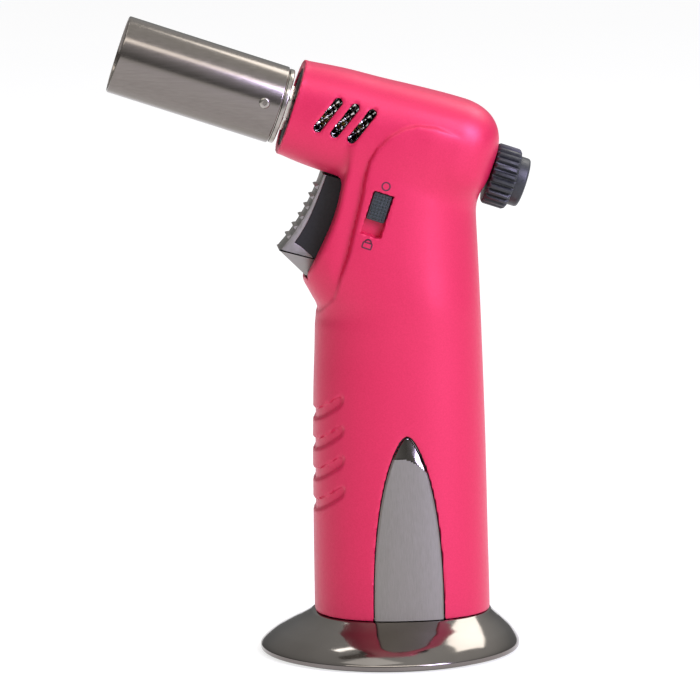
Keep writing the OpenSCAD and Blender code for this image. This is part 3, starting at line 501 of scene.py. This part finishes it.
class Finish:
    """A material's node tree, with short ways to add what its patterns need."""

    def __init__(self, name, colour, metallic, roughness, **sockets):
        self.material = bpy.data.materials.new(name)
        self.material.use_nodes = True
        self.tree = self.material.node_tree
        self.shader = self.tree.nodes["Principled BSDF"]
        self.shader.inputs["Base Color"].default_value = colour
        self.shader.inputs["Metallic"].default_value = metallic
        self.shader.inputs["Roughness"].default_value = roughness
        for socket, value in sockets.items():
            self.shader.inputs[socket.replace("_", " ")].default_value = value
        self.place = self.tree.nodes.new("ShaderNodeTexCoord").outputs["Object"]

    def node(self, kind, **sockets):
        made = self.tree.nodes.new(kind)
        for socket, value in sockets.items():
            made.inputs[socket.replace("_", " ")].default_value = value
        return made

    def noise(self, scale, detail=3.0, roughness=0.5, turn=(0, 0, 0), stretch=(1, 1, 1)):
        """Noise in metres, turned and stretched."""
        turned = self.node("ShaderNodeMapping", Rotation=turn, Scale=stretch)
        self.tree.links.new(self.place, turned.inputs["Vector"])
        grain = self.node("ShaderNodeTexNoise", Scale=scale, Detail=detail, Roughness=roughness)
        self.tree.links.new(turned.outputs["Vector"], grain.inputs["Vector"])
        return grain.outputs["Fac"]

    def spread(self, factor, low, high, start=0.3, end=0.7):
        """A factor's range from start to end, spread from low to high."""
        scaled = self.node("ShaderNodeMapRange")
        set_range(scaled, start, end, low, high)
        self.tree.links.new(factor, scaled.inputs["Value"])
        return scaled.outputs["Result"]

    def colours(self, factor, stops):
        """Colours along a factor, as (position, colour) stops, into the base colour."""
        band = self.tree.nodes.new("ShaderNodeValToRGB")
        set_stops(band, stops)
        self.tree.links.new(factor, band.inputs["Fac"])
        self.tree.links.new(band.outputs["Color"], self.shader.inputs["Base Color"])

    def rough(self, factor):
        self.tree.links.new(factor, self.shader.inputs["Roughness"])

    def bump(self, height, strength, distance):
        raised = self.node("ShaderNodeBump", Strength=strength, Distance=distance)
        self.tree.links.new(height, raised.inputs["Height"])
        if self.shader.inputs["Normal"].is_linked:
            self.tree.links.new(self.shader.inputs["Normal"].links[0].from_socket, raised.inputs["Normal"])
        self.tree.links.new(raised.outputs["Normal"], self.shader.inputs["Normal"])


def pink_lacquer():
    """Satin pearl lacquer: fine flake in its colour, a slow change in its gloss and a
    faint orange-peel bump."""
    paint = Finish("pink_lacquer", tint(206, 26, 77), 0.3, 0.42, Coat_Weight=0.2, Coat_Roughness=0.4)
    flake = paint.noise(2600, 2, 0.6)
    paint.colours(flake, [(0.3, tint(202, 23, 73)), (0.7, tint(210, 29, 81))])
    paint.rough(paint.spread(paint.noise(900), 0.4, 0.48))
    paint.bump(paint.noise(1800, 2), 0.06, 0.0002)
    return paint.material


def smoked_chrome():
    """Dark mirror plating, with the faintest haze and waviness."""
    plating = Finish("smoked_chrome", tint(122, 117, 112), 1.0, 0.07)
    plating.colours(plating.noise(60), [(0.3, tint(116, 111, 106)), (0.7, tint(126, 121, 116))])
    plating.rough(plating.spread(plating.noise(220, 4), 0.08, 0.13))
    plating.bump(plating.noise(90, 1), 0.05, 0.0004)
    return plating.material


def brushed_tube():
    """Dark satin nickel, drawn along the burner's axis: its streaks are long that way
    and fine across it."""
    metal = Finish("brushed_tube", tint(126, 120, 114), 1.0, 0.2)
    grain = metal.noise(2200, 3, 0.6, turn=(0, -TILT, 0), stretch=(0.03, 1, 1))
    metal.colours(grain, [(0.3, tint(122, 116, 110)), (0.7, tint(130, 124, 118))])
    metal.rough(metal.spread(grain, 0.18, 0.22))
    return metal.material


def brushed_plate():
    """The name plate's face: matt gunmetal brushed upright."""
    metal = Finish("brushed_plate", tint(140, 137, 130), 0.9, 0.4)
    grain = metal.noise(1500, 4, 0.6, stretch=(4, 4, 0.25))
    metal.colours(grain, [(0.3, tint(134, 131, 124)), (0.7, tint(148, 145, 138))])
    metal.rough(metal.spread(grain, 0.38, 0.5))
    metal.bump(grain, 0.08, 0.0001)
    return metal.material


def plain_metal(name, low, high, rough):
    """A worked metal: a fine mottle in colour and roughness."""
    metal = Finish(name, low, 1.0, rough)
    grain = metal.noise(500, 4)
    metal.colours(grain, [(0.3, low), (0.7, high)])
    metal.rough(metal.spread(grain, rough * 0.8, rough * 1.25))
    metal.bump(grain, 0.06, 0.0001)
    return metal.material


def moulded(name, low, high, rough, depth=0.1):
    """A moulded plastic or rubber: a fine spark-eroded grain."""
    plastic = Finish(name, low, 0.0, rough)
    grain = plastic.noise(1400, 3)
    plastic.colours(grain, [(0.3, low), (0.7, high)])
    plastic.rough(plastic.spread(grain, rough * 0.88, rough * 1.12))
    plastic.bump(grain, depth, 0.0002)
    return plastic.material


PINK = pink_lacquer()
CHROME = smoked_chrome()
WIRE = plain_metal("screen_wire", tint(196, 194, 190), tint(224, 222, 218), 0.18)
TUBE = brushed_tube()
PLATE = brushed_plate()
GUNMETAL = plain_metal("gunmetal", tint(142, 139, 134), tint(156, 152, 147), 0.42)
NICKEL = plain_metal("satin_nickel", tint(150, 145, 137), tint(172, 167, 158), 0.22)
BRIGHT = plain_metal("bright_steel", tint(196, 192, 184), tint(220, 216, 208), 0.16)
STEEL = plain_metal("steel", tint(165, 165, 165), tint(190, 190, 190), 0.3)
BRASS = plain_metal("brass", tint(190, 150, 72), tint(214, 176, 96), 0.26)
BLACK = moulded("black_plastic", tint(7, 7, 8), tint(13, 13, 14), 0.6)
CHARCOAL = moulded("charcoal_plastic", tint(32, 35, 37), tint(44, 47, 49), 0.42)
SLIDE = moulded("slide_plastic", tint(38, 46, 45), tint(50, 58, 57), 0.5)
NYLON = moulded("nylon", tint(214, 212, 198), tint(228, 226, 214), 0.5)
RUBBER = moulded("rubber", tint(26, 26, 27), tint(38, 38, 39), 0.8, depth=0.25)
CERAMIC = moulded("ceramic", tint(226, 222, 212), tint(238, 235, 228), 0.35)
RED_LEAD = moulded("red_lead", tint(176, 30, 26), tint(196, 42, 34), 0.4)
HOSE = moulded("hose", tint(70, 66, 58), tint(88, 84, 74), 0.5)
PRINT = moulded("mark_print", tint(70, 14, 36), tint(86, 20, 46), 0.55)

SLOT_FINISH = {
    "pink_shell": PINK, "gunmetal": CHROME, "brushed_gunmetal": GUNMETAL, "satin_nickel": NICKEL,
    "bright_steel": BRIGHT, "steel": STEEL, "brass": BRASS, "black_plastic": BLACK,
    "charcoal_plastic": CHARCOAL, "nylon": NYLON, "rubber": RUBBER, "ceramic": CERAMIC,
    "wire_mesh": STEEL, "red_lead": RED_LEAD, "hose": HOSE}


def paint_cad_nodes():
    """Each CAD node takes the finish of its own slot in the record."""
    for node, thing in frame["nodes"].items():
        for place in thing.material_slots:
            place.material = SLOT_FINISH[SLOT_OF[node]]


# ---- Pieces ----

def casing():
    """Both halves of the casing, each a surface net of its field. Faces that lie under the
    lacquered skin, but for the lock's slot, are black: painted shade on the walls of the vents, the screw
    wells, the plate's recess and the trigger's pocket."""
    low, high, step = (-28.6, -1, 8.5), (30, 20.2, 153), 0.55
    for side, name in ((LEFT, "casing_left"), (RIGHT, "casing_right")):
        points, faces = surface_net(casing_field(side), low, high, step)
        shell = finished(name + "_shell", points * [1, side, 1], faces, PINK, name, crease=38, merge=False)
        # the second slot, black, is painted shade for the faces under the lacquer
        shell.data.materials.append(BLACK)
        x, y, z = points[faces].mean(1).T
        s, t = to_head(x, z)
        in_slot = (np.abs(s - SLOT_S) < SLOT_W / 2 + 0.4) & (np.abs(t - SLOT_T) < SLOT_L / 2 + 0.4)
        in_slot &= (y > SLOT_FLOOR - 0.5) & (side == LEFT)
        # faces deeper than 0.45 under the lacquer turn black: painted shade in the vents, wells, recess and
        # pocket
        painted_shade_faces = (painted_field(x, y, z) < -0.45) & ~in_slot
        shell.data.polygons.foreach_set("material_index", painted_shade_faces.astype(np.int32))


def side_height(x, z):
    """How far out the handle's skin is at (x, z): its oval solved for y."""
    front, rear, half = body_section(z)
    u = np.abs(x - (front + rear) / 2) / ((rear - front) / 2)
    return half * (1 - np.clip(u, 0, 1) ** BODY_SQUARE) ** (1 / BODY_SQUARE)


def chisel_line(x):
    """The height at x above which the name plate's tip is cut to a bright bevel."""
    return 51.8 - 0.07 * (x - 1.2) ** 2


def name_plates():
    """The plates on both sides: a grid that narrows with the outline, lying in the
    handle's skin. Its rim is eased, and its tip falls away in a bright bevel."""
    across = np.linspace(-1, 1, 61)[None, :]
    share = (1 - (1 - np.linspace(0, 1, 91)) ** 2)[:, None]
    x = PLATE_X + across * plate_half(share)
    z = FOOT_H + 0.25 + share * (PLATE_H - 0.25) + 0 * across
    edge = np.minimum(plate_half(share) * (1 - np.abs(across)), PLATE_H * (1 - share))
    chisel = np.maximum(z - chisel_line(x), 0)
    fall = 0.3 * (1 - ramp(edge, 0, 0.45)) + (0.1 + 0.05 * np.abs(x - PLATE_X)) * np.minimum(chisel, 6)
    skin = side_height(x, z)
    for side, name in ((LEFT, "plate_left"), (RIGHT, "plate_right")):
        outer = np.stack([x, side * (skin + 0.1 - fall), z], axis=-1)
        inner = np.stack([x, side * (skin - 1.0), z], axis=-1)
        points, faces = two_sided(outer, inner)
        plate = finished(name + "_face", points, faces, PLATE, name, crease=8)
        plate.data.materials.append(CHROME)
        middle = points[faces].mean(1)
        on_chisel = (middle[:, 2] > chisel_line(middle[:, 0])).astype(np.int32)
        plate.data.polygons.foreach_set("material_index", on_chisel[:len(plate.data.polygons)])


def foot():
    """The flared foot: rings that pass from the handle's oval out to the round rim, in
    under it, and up inside round the filler cup, closed on themselves."""
    angle = np.linspace(0, 2 * math.pi, SIDES, endpoint=False)
    round_unit = np.stack([np.cos(angle), np.sin(angle)], axis=1)
    top_unit = np.sign(round_unit) * np.abs(round_unit) ** (2 / BODY_SQUARE)
    top = top_unit * [22.9, 19.1] + [3.0, 0]
    rim = round_unit * FOOT_R
    share = np.array([1.0, 0.9, 0.76, 0.6, 0.44, 0.29, 0.15, 0.05, 0.0, 0.0, 0.004, 0.02])
    level = np.array([10.2, 9.35, 8.3, 7.25, 6.15, 5.05, 3.75, 2.6, 1.75, 1.25, 0.85, 0.6])
    rows = 49
    steps = np.linspace(0, 1, rows)
    at = np.linspace(0, 1, len(share))
    share, level = np.maximum(through(steps, at, share), 0), through(steps, at, level)
    flare = np.concatenate([top + (rim - top) * (1 - share[:, None, None]),
                            np.broadcast_to(level[:, None, None], (rows, SIDES, 1))], axis=2)
    well_x = 2.8
    inside = [(31.0, 0, 0.6), (31.0, 0, 1.4), (17.0, well_x, 1.4), (17.0, well_x, 8.0), (9.6, well_x, 8.0),
              (9.6, well_x, 1.4), (8.0, well_x, 1.4), (8.0, well_x, 10.2)]
    rings = np.array([np.column_stack([round_unit * r + [middle, 0], np.full(SIDES, z)])
                      for r, middle, z in inside])
    points = np.concatenate([flare, rings])
    finished("foot_flare", points, sheet_faces(len(points), SIDES, True, True), CHROME, "base_foot",
             crease=50)


def burner():
    """The tube with its rolled lips, the collar behind it, the hexagon neck and the
    tube's screw."""
    end = TUBE_S + TUBE_L
    shelf, shelf_r = end - 12.6, 9.0
    wall = eased([(TUBE_S, shelf_r), (TUBE_S, TUBE_R), (end, TUBE_R), (end, MOUTH_R), (shelf, MOUTH_R),
                  (shelf, shelf_r)], [0.05, 0.35, 0.5, 0.25, 0.1, 0.1])
    finished("burner_tube_shell", *lathe(wall, 160), TUBE, "burner_tube")
    collar = eased([(COLLAR_S, 5.0), (COLLAR_S, 9.7), (27.85, 9.7), (27.95, 9.2), (TUBE_S, 9.2),
                    (TUBE_S, 5.0)], [0.1, 0.35, 0.12, 0.05, 0.02, 0.1])
    finished("burner_collar", *lathe(collar, SIDES), NICKEL, "burner_ring")
    hexagon_nut()
    tube_screw()


def hexagon(angle, flat_r):
    """A hexagon's radius: flat_r over the cosine of the angle from the nearest flat's
    middle."""
    return flat_r / np.cos((angle + math.pi / 6) % (math.pi / 3) - math.pi / 6)


def hexagon_nut():
    """The neck nut: a hexagon cut back at both ends by a cone's chamfer, which rounds
    its corners off."""
    bore = 4.5
    angle = np.linspace(0, 2 * math.pi, SIDES, endpoint=False)
    s = np.array([NECK_S, NECK_S, 24.85, 25.1, 25.7, 26.3, 26.55, COLLAR_S, COLLAR_S])
    limit = np.array([bore, 5.15, 5.45, 5.75, 6.2, 5.75, 5.45, 5.15, bore])
    r = np.minimum(hexagon(angle, 5.0)[None], limit[:, None])
    r[[0, -1]] = bore
    turned = angle + math.pi / 6
    points = from_head(s[:, None], r * np.cos(turned), r * np.sin(turned))
    finished("neck_nut", points, sheet_faces(len(s), SIDES, True, True), BRIGHT, "burner_nut", crease=25)


def tube_screw():
    """The socket screw on the tube's left side: a domed head with a hexagon socket."""
    sides, screw_s = 48, 32.3
    angle = np.linspace(0, 2 * math.pi, sides, endpoint=False)
    socket = hexagon(angle, 0.52)
    height = np.array([-9.2, -9.2, -9.95, -10.2, -10.35, -10.4, -10.4, -9.7, -9.7])
    size = np.array([0.0, 1.4, 1.4, 1.32, 1.1, 0.8, 0.0, 0.0, 0.0])
    r = np.repeat(size[:, None], sides, axis=1)
    r[6], r[7] = socket, socket * 0.96
    points = from_head(screw_s + r * np.cos(angle), r * np.sin(angle), height[:, None])
    finished("tube_screw_head", points, sheet_faces(len(points), sides, False, True), NICKEL, "tube_screw",
             crease=40)


def flame_knob():
    """The ribbed knob: its radius falls by the rib's depth between ribs, less towards
    both rounded ends; and the plain cap over its end."""
    ribs, tip, root = 26, 7.95, 7.0
    angle = np.linspace(0, 2 * math.pi, ribs * 12, endpoint=False)
    wave = np.clip(2.0 * np.cos(ribs * angle) + 0.5, -1, 1) * 0.5 + 0.5
    s = np.array([-28.3, -28.3, -28.35, -28.55, -29.0, -33.9, -34.35, -34.6, KNOB_END, KNOB_END])
    outer = np.array([3.0, 6.9, 7.3, 7.65, tip, tip, 7.7, 7.4, 7.0, 3.0])
    inner = np.minimum(outer, np.array([3.0, 6.9, 7.05, 7.1, root, root, 7.1, 7.05, 6.9, 3.0]))
    r = inner[:, None] + (outer - inner)[:, None] * wave[None]
    points = from_head(s[:, None], r * np.cos(angle), r * np.sin(angle))
    finished("flame_knob_grip", points, sheet_faces(len(s), len(angle), True, True), CHARCOAL, "knob",
             body="flame_knob", crease=45)
    cap_r = 6.35
    cap = eased([(KNOB_END, 0.0), (KNOB_END, cap_r), (-37.55, cap_r), (-37.3, 4.2), (-37.3, 0.0)],
                [0, 0.05, 0.9, 0.7, 0])
    finished("flame_knob_cap", *lathe(cap, 120), CHARCOAL, "knob_cap", body="flame_knob")


def face_front(t):
    """The trigger face's front line: it stands further out with the square of t."""
    return 12.4 + 4.8 * ((TRIGGER_TOP - t) / 22.5) ** 2


def face_lines():
    """The trigger face between its top and its toe: t, the front line's s and the back
    line's s. The plate grows thicker towards the toe."""
    t = np.linspace(TRIGGER_TOP, -31.5, 24)
    thick = 0.95 + 0.9 * ramp(-t, 16, 31)
    return t, face_front(t), face_front(t) - thick


def trigger_face():
    """The trigger's metal face plate, which ends in a toe below."""
    t, front, back = face_lines()
    toe = eased([(17.4, -34.4), (8.6, -38.7), (6.2, -38.0), (6.2, -33.7)], [0.5, 0.6, 0.3, 0.1], 5)
    under = np.array([(8.2, -33.9), (8.7, -33.4), (12.1, -31.95), (12.9, -31.75)])
    outline = np.concatenate([np.stack([front, t], axis=1), toe, under, np.stack([back, t], axis=1)[::-1]])
    finished("trigger_face_plate", *prism(outline, TRIGGER_W / 2, 0.3, from_head), GUNMETAL, "trigger_face",
             body="trigger", crease=20)


def trigger_teeth():
    """Six ridges across the trigger's face, each a five-sided bar."""
    teeth, pitch, reach = 6, 2.84, TRIGGER_W / 2 - 0.3
    middle = -16.5 - pitch * np.arange(teeth)
    ridge = np.array([(-0.5, 0.75), (0.45, 0.32), (0.8, 0.0), (0.5, -0.3), (-0.5, -0.65)])
    s, t = face_front(middle)[:, None] + ridge[:, 0], middle[:, None] + ridge[:, 1]
    points = np.concatenate([from_head(s, t, y) for y in (-reach, reach)], axis=1)
    side = np.array([(k, (k + 1) % 5, (k + 1) % 5 + 5, k + 5) for k in range(5)])
    ends = np.array([(0, 1, 2, 3, 4), (9, 8, 7, 6, 5)])
    faces = [(face + 10 * k).tolist() for k in range(teeth) for face in [*side, *ends]]
    finished("trigger_teeth", points, faces, GUNMETAL, "trigger_face", body="trigger", replaced=False,
             crease=20)


def trigger_block():
    """The black body behind the face, level by level a rectangle with round corners,
    and the tail that works the valve's lever."""
    level, _, back = face_lines()
    rows = np.concatenate([level, [-33.9, -37.3]])[:, None]
    ahead = np.concatenate([back + 0.1, [13.2, 8.0]])[:, None]
    behind = np.concatenate([np.full(len(level), -2.0), [-2.0, 5.0]])[:, None]
    round_r = 0.25
    corner = np.arange(16) // 4
    turn = (corner * 90 + np.arange(16) % 4 * 30) * math.pi / 180
    s = np.where((corner == 0) | (corner == 3), ahead - round_r, behind + round_r) + round_r * np.cos(turn)
    y = np.where(corner < 2, 1, -1) * (TRIGGER_W / 2 - 0.37) + round_r * np.sin(turn)
    finished("trigger_block", *capped(from_head(s, rows, y)), BLACK, "trigger_body", body="trigger",
             crease=25)
    tail = [(2.9, -33.0), (-2.0, -33.0), (-2.0, -30.0), (-12.0, -30.0), (-12.0, -36.5), (2.9, -36.5)]
    finished("trigger_tail", *prism(tail, 2.5, 0.2, from_head), BLACK, "trigger_body", body="trigger",
             replaced=False, crease=20)


def lock_slide():
    """The lock's button, a rounded block, and the small pyramids of its grip."""
    travel = 3.6
    middle, long, wide = SLOT_T + SLOT_L / 2 - travel - 0.1, 7.2, SLOT_W - 0.5
    outline = eased([(SLOT_S - wide / 2, middle - long / 2), (SLOT_S + wide / 2, middle - long / 2),
                     (SLOT_S + wide / 2, middle + long / 2), (SLOT_S - wide / 2, middle + long / 2)], 0.4, 4)
    top, low = -15.0, -13.5

    def place(s, t, y):
        return from_head(s, t, y + (top + low) / 2)

    finished("lock_button_block", *prism(outline, (low - top) / 2, 0.3, place), SLIDE, "lock_button",
             body="lock_slider", crease=20)
    columns, rows, pitch, half = 5, 8, 0.82, 0.4
    i, j = np.meshgrid(np.arange(columns), np.arange(rows), indexing="ij")
    stud_s = SLOT_S + (i.ravel()[:, None] - (columns - 1) / 2) * pitch
    stud_t = middle + (j.ravel()[:, None] - (rows - 1) / 2) * pitch
    foot_s, foot_t = np.array([-1, 1, 1, -1]) * half, np.array([-1, -1, 1, 1]) * half
    low_ring = from_head(stud_s + foot_s, stud_t + foot_t, top + 0.1)
    high_ring = from_head(stud_s + foot_s * 0.25, stud_t + foot_t * 0.25, top - 0.24)
    stud = np.concatenate([low_ring, high_ring], axis=1)
    one = np.array([(0, 1, 5, 4), (1, 2, 6, 5), (2, 3, 7, 6), (3, 0, 4, 7), (4, 5, 6, 7), (3, 2, 1, 0)])
    faces = (one[None] + 8 * np.arange(len(stud))[:, None, None]).reshape(-1, 4)
    finished("lock_button_grip", stud, faces, SLIDE, "lock_button", body="lock_slider", replaced=False,
             crease=20, merge=False)


def front_plate():
    """The dark plate in the head's mouth: the head's own oval, with eased edges and a
    hole for the neck."""
    sides, hole_r = 120, 4.55
    angle = np.linspace(0, 2 * math.pi, sides, endpoint=False)
    c, s = np.cos(angle), np.sin(angle)
    power = 2 / HEAD_SQUARE
    up, out = 0.6 + 12.3 * np.sign(c) * np.abs(c) ** power, 11.5 * np.sign(s) * np.abs(s) ** power
    oval = np.stack([up, out], axis=1)
    hole = np.stack([hole_r * c, hole_r * s], axis=1)
    shrink = np.array([0.3, 0.0, 0.0, 0.12, 0.35])[:, None, None]
    level = np.array([23.8, 24.0, 24.45, 24.62, NECK_S, NECK_S, 23.8])
    outline = np.concatenate([oval * (0.9 - shrink / 12), [hole, hole]])
    points = from_head(level[:, None], outline[..., 0], outline[..., 1])
    finished("mouth_plate", points, sheet_faces(len(level), sides, True, True), BLACK, "front_plate",
             crease=40)


def vent_screens():
    """The woven screens behind the vents: two sets of wires, each passing over and
    under the other by a sine, laid slantwise."""
    low, high = (np.array(corner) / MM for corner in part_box("vent_mesh_left"))
    depth = -(low[1] + high[1]) / 2
    pitch, swell, wire_r, half_s, half_t = 1.5, 0.34, 0.36, 7.6, 5.2
    u = np.linspace(-9.5, 9.5, 96)[None, :]
    k = np.arange(-6, 7)[:, None]
    wave = swell * np.cos(math.pi * (u / pitch + k))
    turn = math.radians(38)
    for side, name in ((LEFT, "vent_mesh_left"), (RIGHT, "vent_mesh_right")):
        parts = []
        for a, b, out in ((u + 0 * k, k * pitch + 0 * u, wave), (k * pitch + 0 * u, u + 0 * k, -wave)):
            s = a * math.cos(turn) - b * math.sin(turn)
            t = a * math.sin(turn) + b * math.cos(turn)
            s, t = np.clip(s, -half_s, half_s), np.clip(t, -half_t, half_t)
            parts.append(from_head(VENT_S + s, VENT_T + t, side * depth + out))
        points, faces = wires(np.concatenate(parts), wire_r)
        finished(name + "_weave", points, faces, WIRE, name, merge=False)


def printed_marks():
    """The lock's two marks, printed on the casing: an open ring by the free end of the
    slot, and a small padlock by the locked end. Each is a thin closed band laid on the
    casing's side, along a closed line in s and t."""
    mark_s, line_half = SLOT_S + 0.1, 0.17
    turn = np.linspace(0, 2 * math.pi, 48, endpoint=False)
    half_turn = np.linspace(0, math.pi, 24)
    ring = np.stack([np.cos(turn), np.sin(turn)], axis=1)
    body = eased([(-1.15, -0.9), (1.15, -0.9), (1.15, 0.55), (-1.15, 0.55)], 0.25, 5)
    shackle = np.concatenate([np.stack([0.8 * np.cos(half_turn), 0.8 * np.sin(half_turn)], axis=1),
                              np.stack([-0.79 * np.cos(half_turn), 0.74 * np.sin(half_turn)], axis=1)])
    marks = (("mark_free", SLOT_T + SLOT_L / 2 + 1.9, ring),
             ("mark_locked", SLOT_T - SLOT_L / 2 - 2.3, body),
             ("mark_shackle", SLOT_T - SLOT_L / 2 - 1.7, shackle))
    field = casing_field(RIGHT)
    for name, mark_t, line in marks:
        run = np.roll(line, -1, axis=0) - np.roll(line, 1, axis=0)
        run /= np.linalg.norm(run, axis=1, keepdims=True)
        across = np.stack([-run[:, 1], run[:, 0]], axis=1) * line_half
        edges = np.stack([line + across, line + across, line - across, line - across])
        s, t = mark_s + edges[..., 0], mark_t + edges[..., 1]
        at = from_head(s, t, 0)
        # step in from well outside until the field is 0: the skin
        y = np.full(s.shape, 20.0)
        for _ in range(40):
            y = y - np.clip(field(at[..., 0], y, at[..., 2]), -0.5, 0.5)
        y = y + np.array([-0.1, 0.05, 0.05, -0.1])[:, None]
        points = from_head(s, t, -y)
        finished(name, points, sheet_faces(4, len(line), True, True), PRINT, "casing_left", replaced=False)


def build():
    paint_cad_nodes()
    casing()
    name_plates()
    foot()
    burner()
    flame_knob()
    trigger_face()
    trigger_teeth()
    trigger_block()
    lock_slide()
    front_plate()
    vent_screens()
    printed_marks()


# ---- Studio ----

def studio_floor():
    """A wide pale floor that glows a little."""
    mesh = bpy.data.meshes.new("studio_floor")
    reach = 14.0
    corners = [(-reach, -reach, 0), (reach, -reach, 0), (reach, reach, 0), (-reach, reach, 0)]
    mesh.from_pydata(corners, [], [(0, 1, 2, 3)])
    floor = bpy.data.objects.new("studio_floor", mesh)
    bpy.context.collection.objects.link(floor)
    pale = Finish("pale_floor", tint(159, 159, 159), 0.0, 0.9, Emission_Color=(1, 1, 1, 1),
                  Emission_Strength=0.72)
    pale.colours(pale.noise(2), [(0.3, tint(158, 158, 158)), (0.7, tint(160, 160, 160))])
    mesh.materials.append(pale.material)


def surround():
    """A surround whose grey goes from pale below through dark at the horizon to pale
    overhead, and is weaker on the burner's side."""
    world = bpy.data.worlds.new("surround")
    world.use_nodes = True
    bpy.context.scene.world = world
    tree = world.node_tree
    place = tree.nodes.new("ShaderNodeTexCoord")
    split = tree.nodes.new("ShaderNodeSeparateXYZ")
    band = tree.nodes.new("ShaderNodeValToRGB")
    stops = [(0.0, 0.5), (0.49, 0.26), (0.53, 0.2), (0.6, 0.28), (0.78, 0.65), (1.0, 0.9)]
    set_stops(band, [(position, (level, level, level, 1)) for position, level in stops])
    height = tree.nodes.new("ShaderNodeMapRange")
    set_range(height, -1, 1, 0, 1)
    tree.links.new(place.outputs["Generated"], split.inputs["Vector"])
    tree.links.new(split.outputs["Z"], height.inputs["Value"])
    tree.links.new(height.outputs["Result"], band.inputs["Fac"])
    dim = tree.nodes.new("ShaderNodeMapRange")
    set_range(dim, -1, 1, 0.55, 1.25)
    tree.links.new(split.outputs["X"], dim.inputs["Value"])
    background = tree.nodes["Background"]
    tree.links.new(band.outputs["Color"], background.inputs["Color"])
    tree.links.new(dim.outputs["Result"], background.inputs["Strength"])


def lamps():
    """Soft lamps on the left, behind and overhead, all turned to the handle's middle.
    Each row: name, place, width, height, power and colour."""
    aim = Vector((0, 0, 0.08))
    for name, place, width, height, power, colour in (
            ("key_lamp", (0.8, -0.95, 0.75), 0.5, 0.8, 15.0, (1.0, 0.9, 1.5)),
            ("back_lamp", (0.82, 0.66, 1.32), 0.75, 0.6, 6.5, (1.0, 0.97, 0.93)),
            ("small_lamp", (-0.32, 0.68, 1.49), 0.42, 0.12, 1.0, (1.0, 1.0, 1.0)),
            ("strip_lamp", (-0.1, -0.75, 1.1), 1.5, 0.24, 3.6, (1.0, 0.95, 0.9)),
            ("top_lamp", (-0.3, -0.2, 1.6), 0.7, 0.7, 1.6, (1.0, 1.0, 1.0))):
        light = bpy.data.lights.new(name, "AREA")
        light.shape, light.size, light.size_y, light.energy = "RECTANGLE", width, height, power
        light.color = colour
        lamp = bpy.data.objects.new(name, light)
        lamp.location = place
        lamp.rotation_euler = (aim - Vector(place)).to_track_quat("-Z", "Y").to_euler()
        bpy.context.collection.objects.link(lamp)


def studio():
    """The floor, the surround, the lamps and the plain view transform."""
    studio_floor()
    surround()
    lamps()
    bpy.context.scene.view_settings.view_transform = "Standard"


def camera():
    """A long lens from a little in front of the left side, raised a few degrees."""
    target = Vector((-9.3, 0, 77.4)) * MM
    around, raised, distance = math.radians(-4), math.radians(8), 1.1
    away = Vector((math.sin(around) * math.cos(raised), -math.cos(around) * math.cos(raised),
                   math.sin(raised)))
    lens = bpy.data.cameras.new("torch_camera")
    lens.lens, lens.sensor_width, lens.clip_end = 221.8, 36, 60
    eye = bpy.data.objects.new("torch_camera", lens)
    eye.location = target + away * distance
    turn = (-away).to_track_quat("-Z", "Y") @ Quaternion((0, 0, 1), math.radians(-0.8))
    eye.rotation_euler = turn.to_euler()
    bpy.context.collection.objects.link(eye)
    bpy.context.scene.camera = eye


camera()
build()
studio()
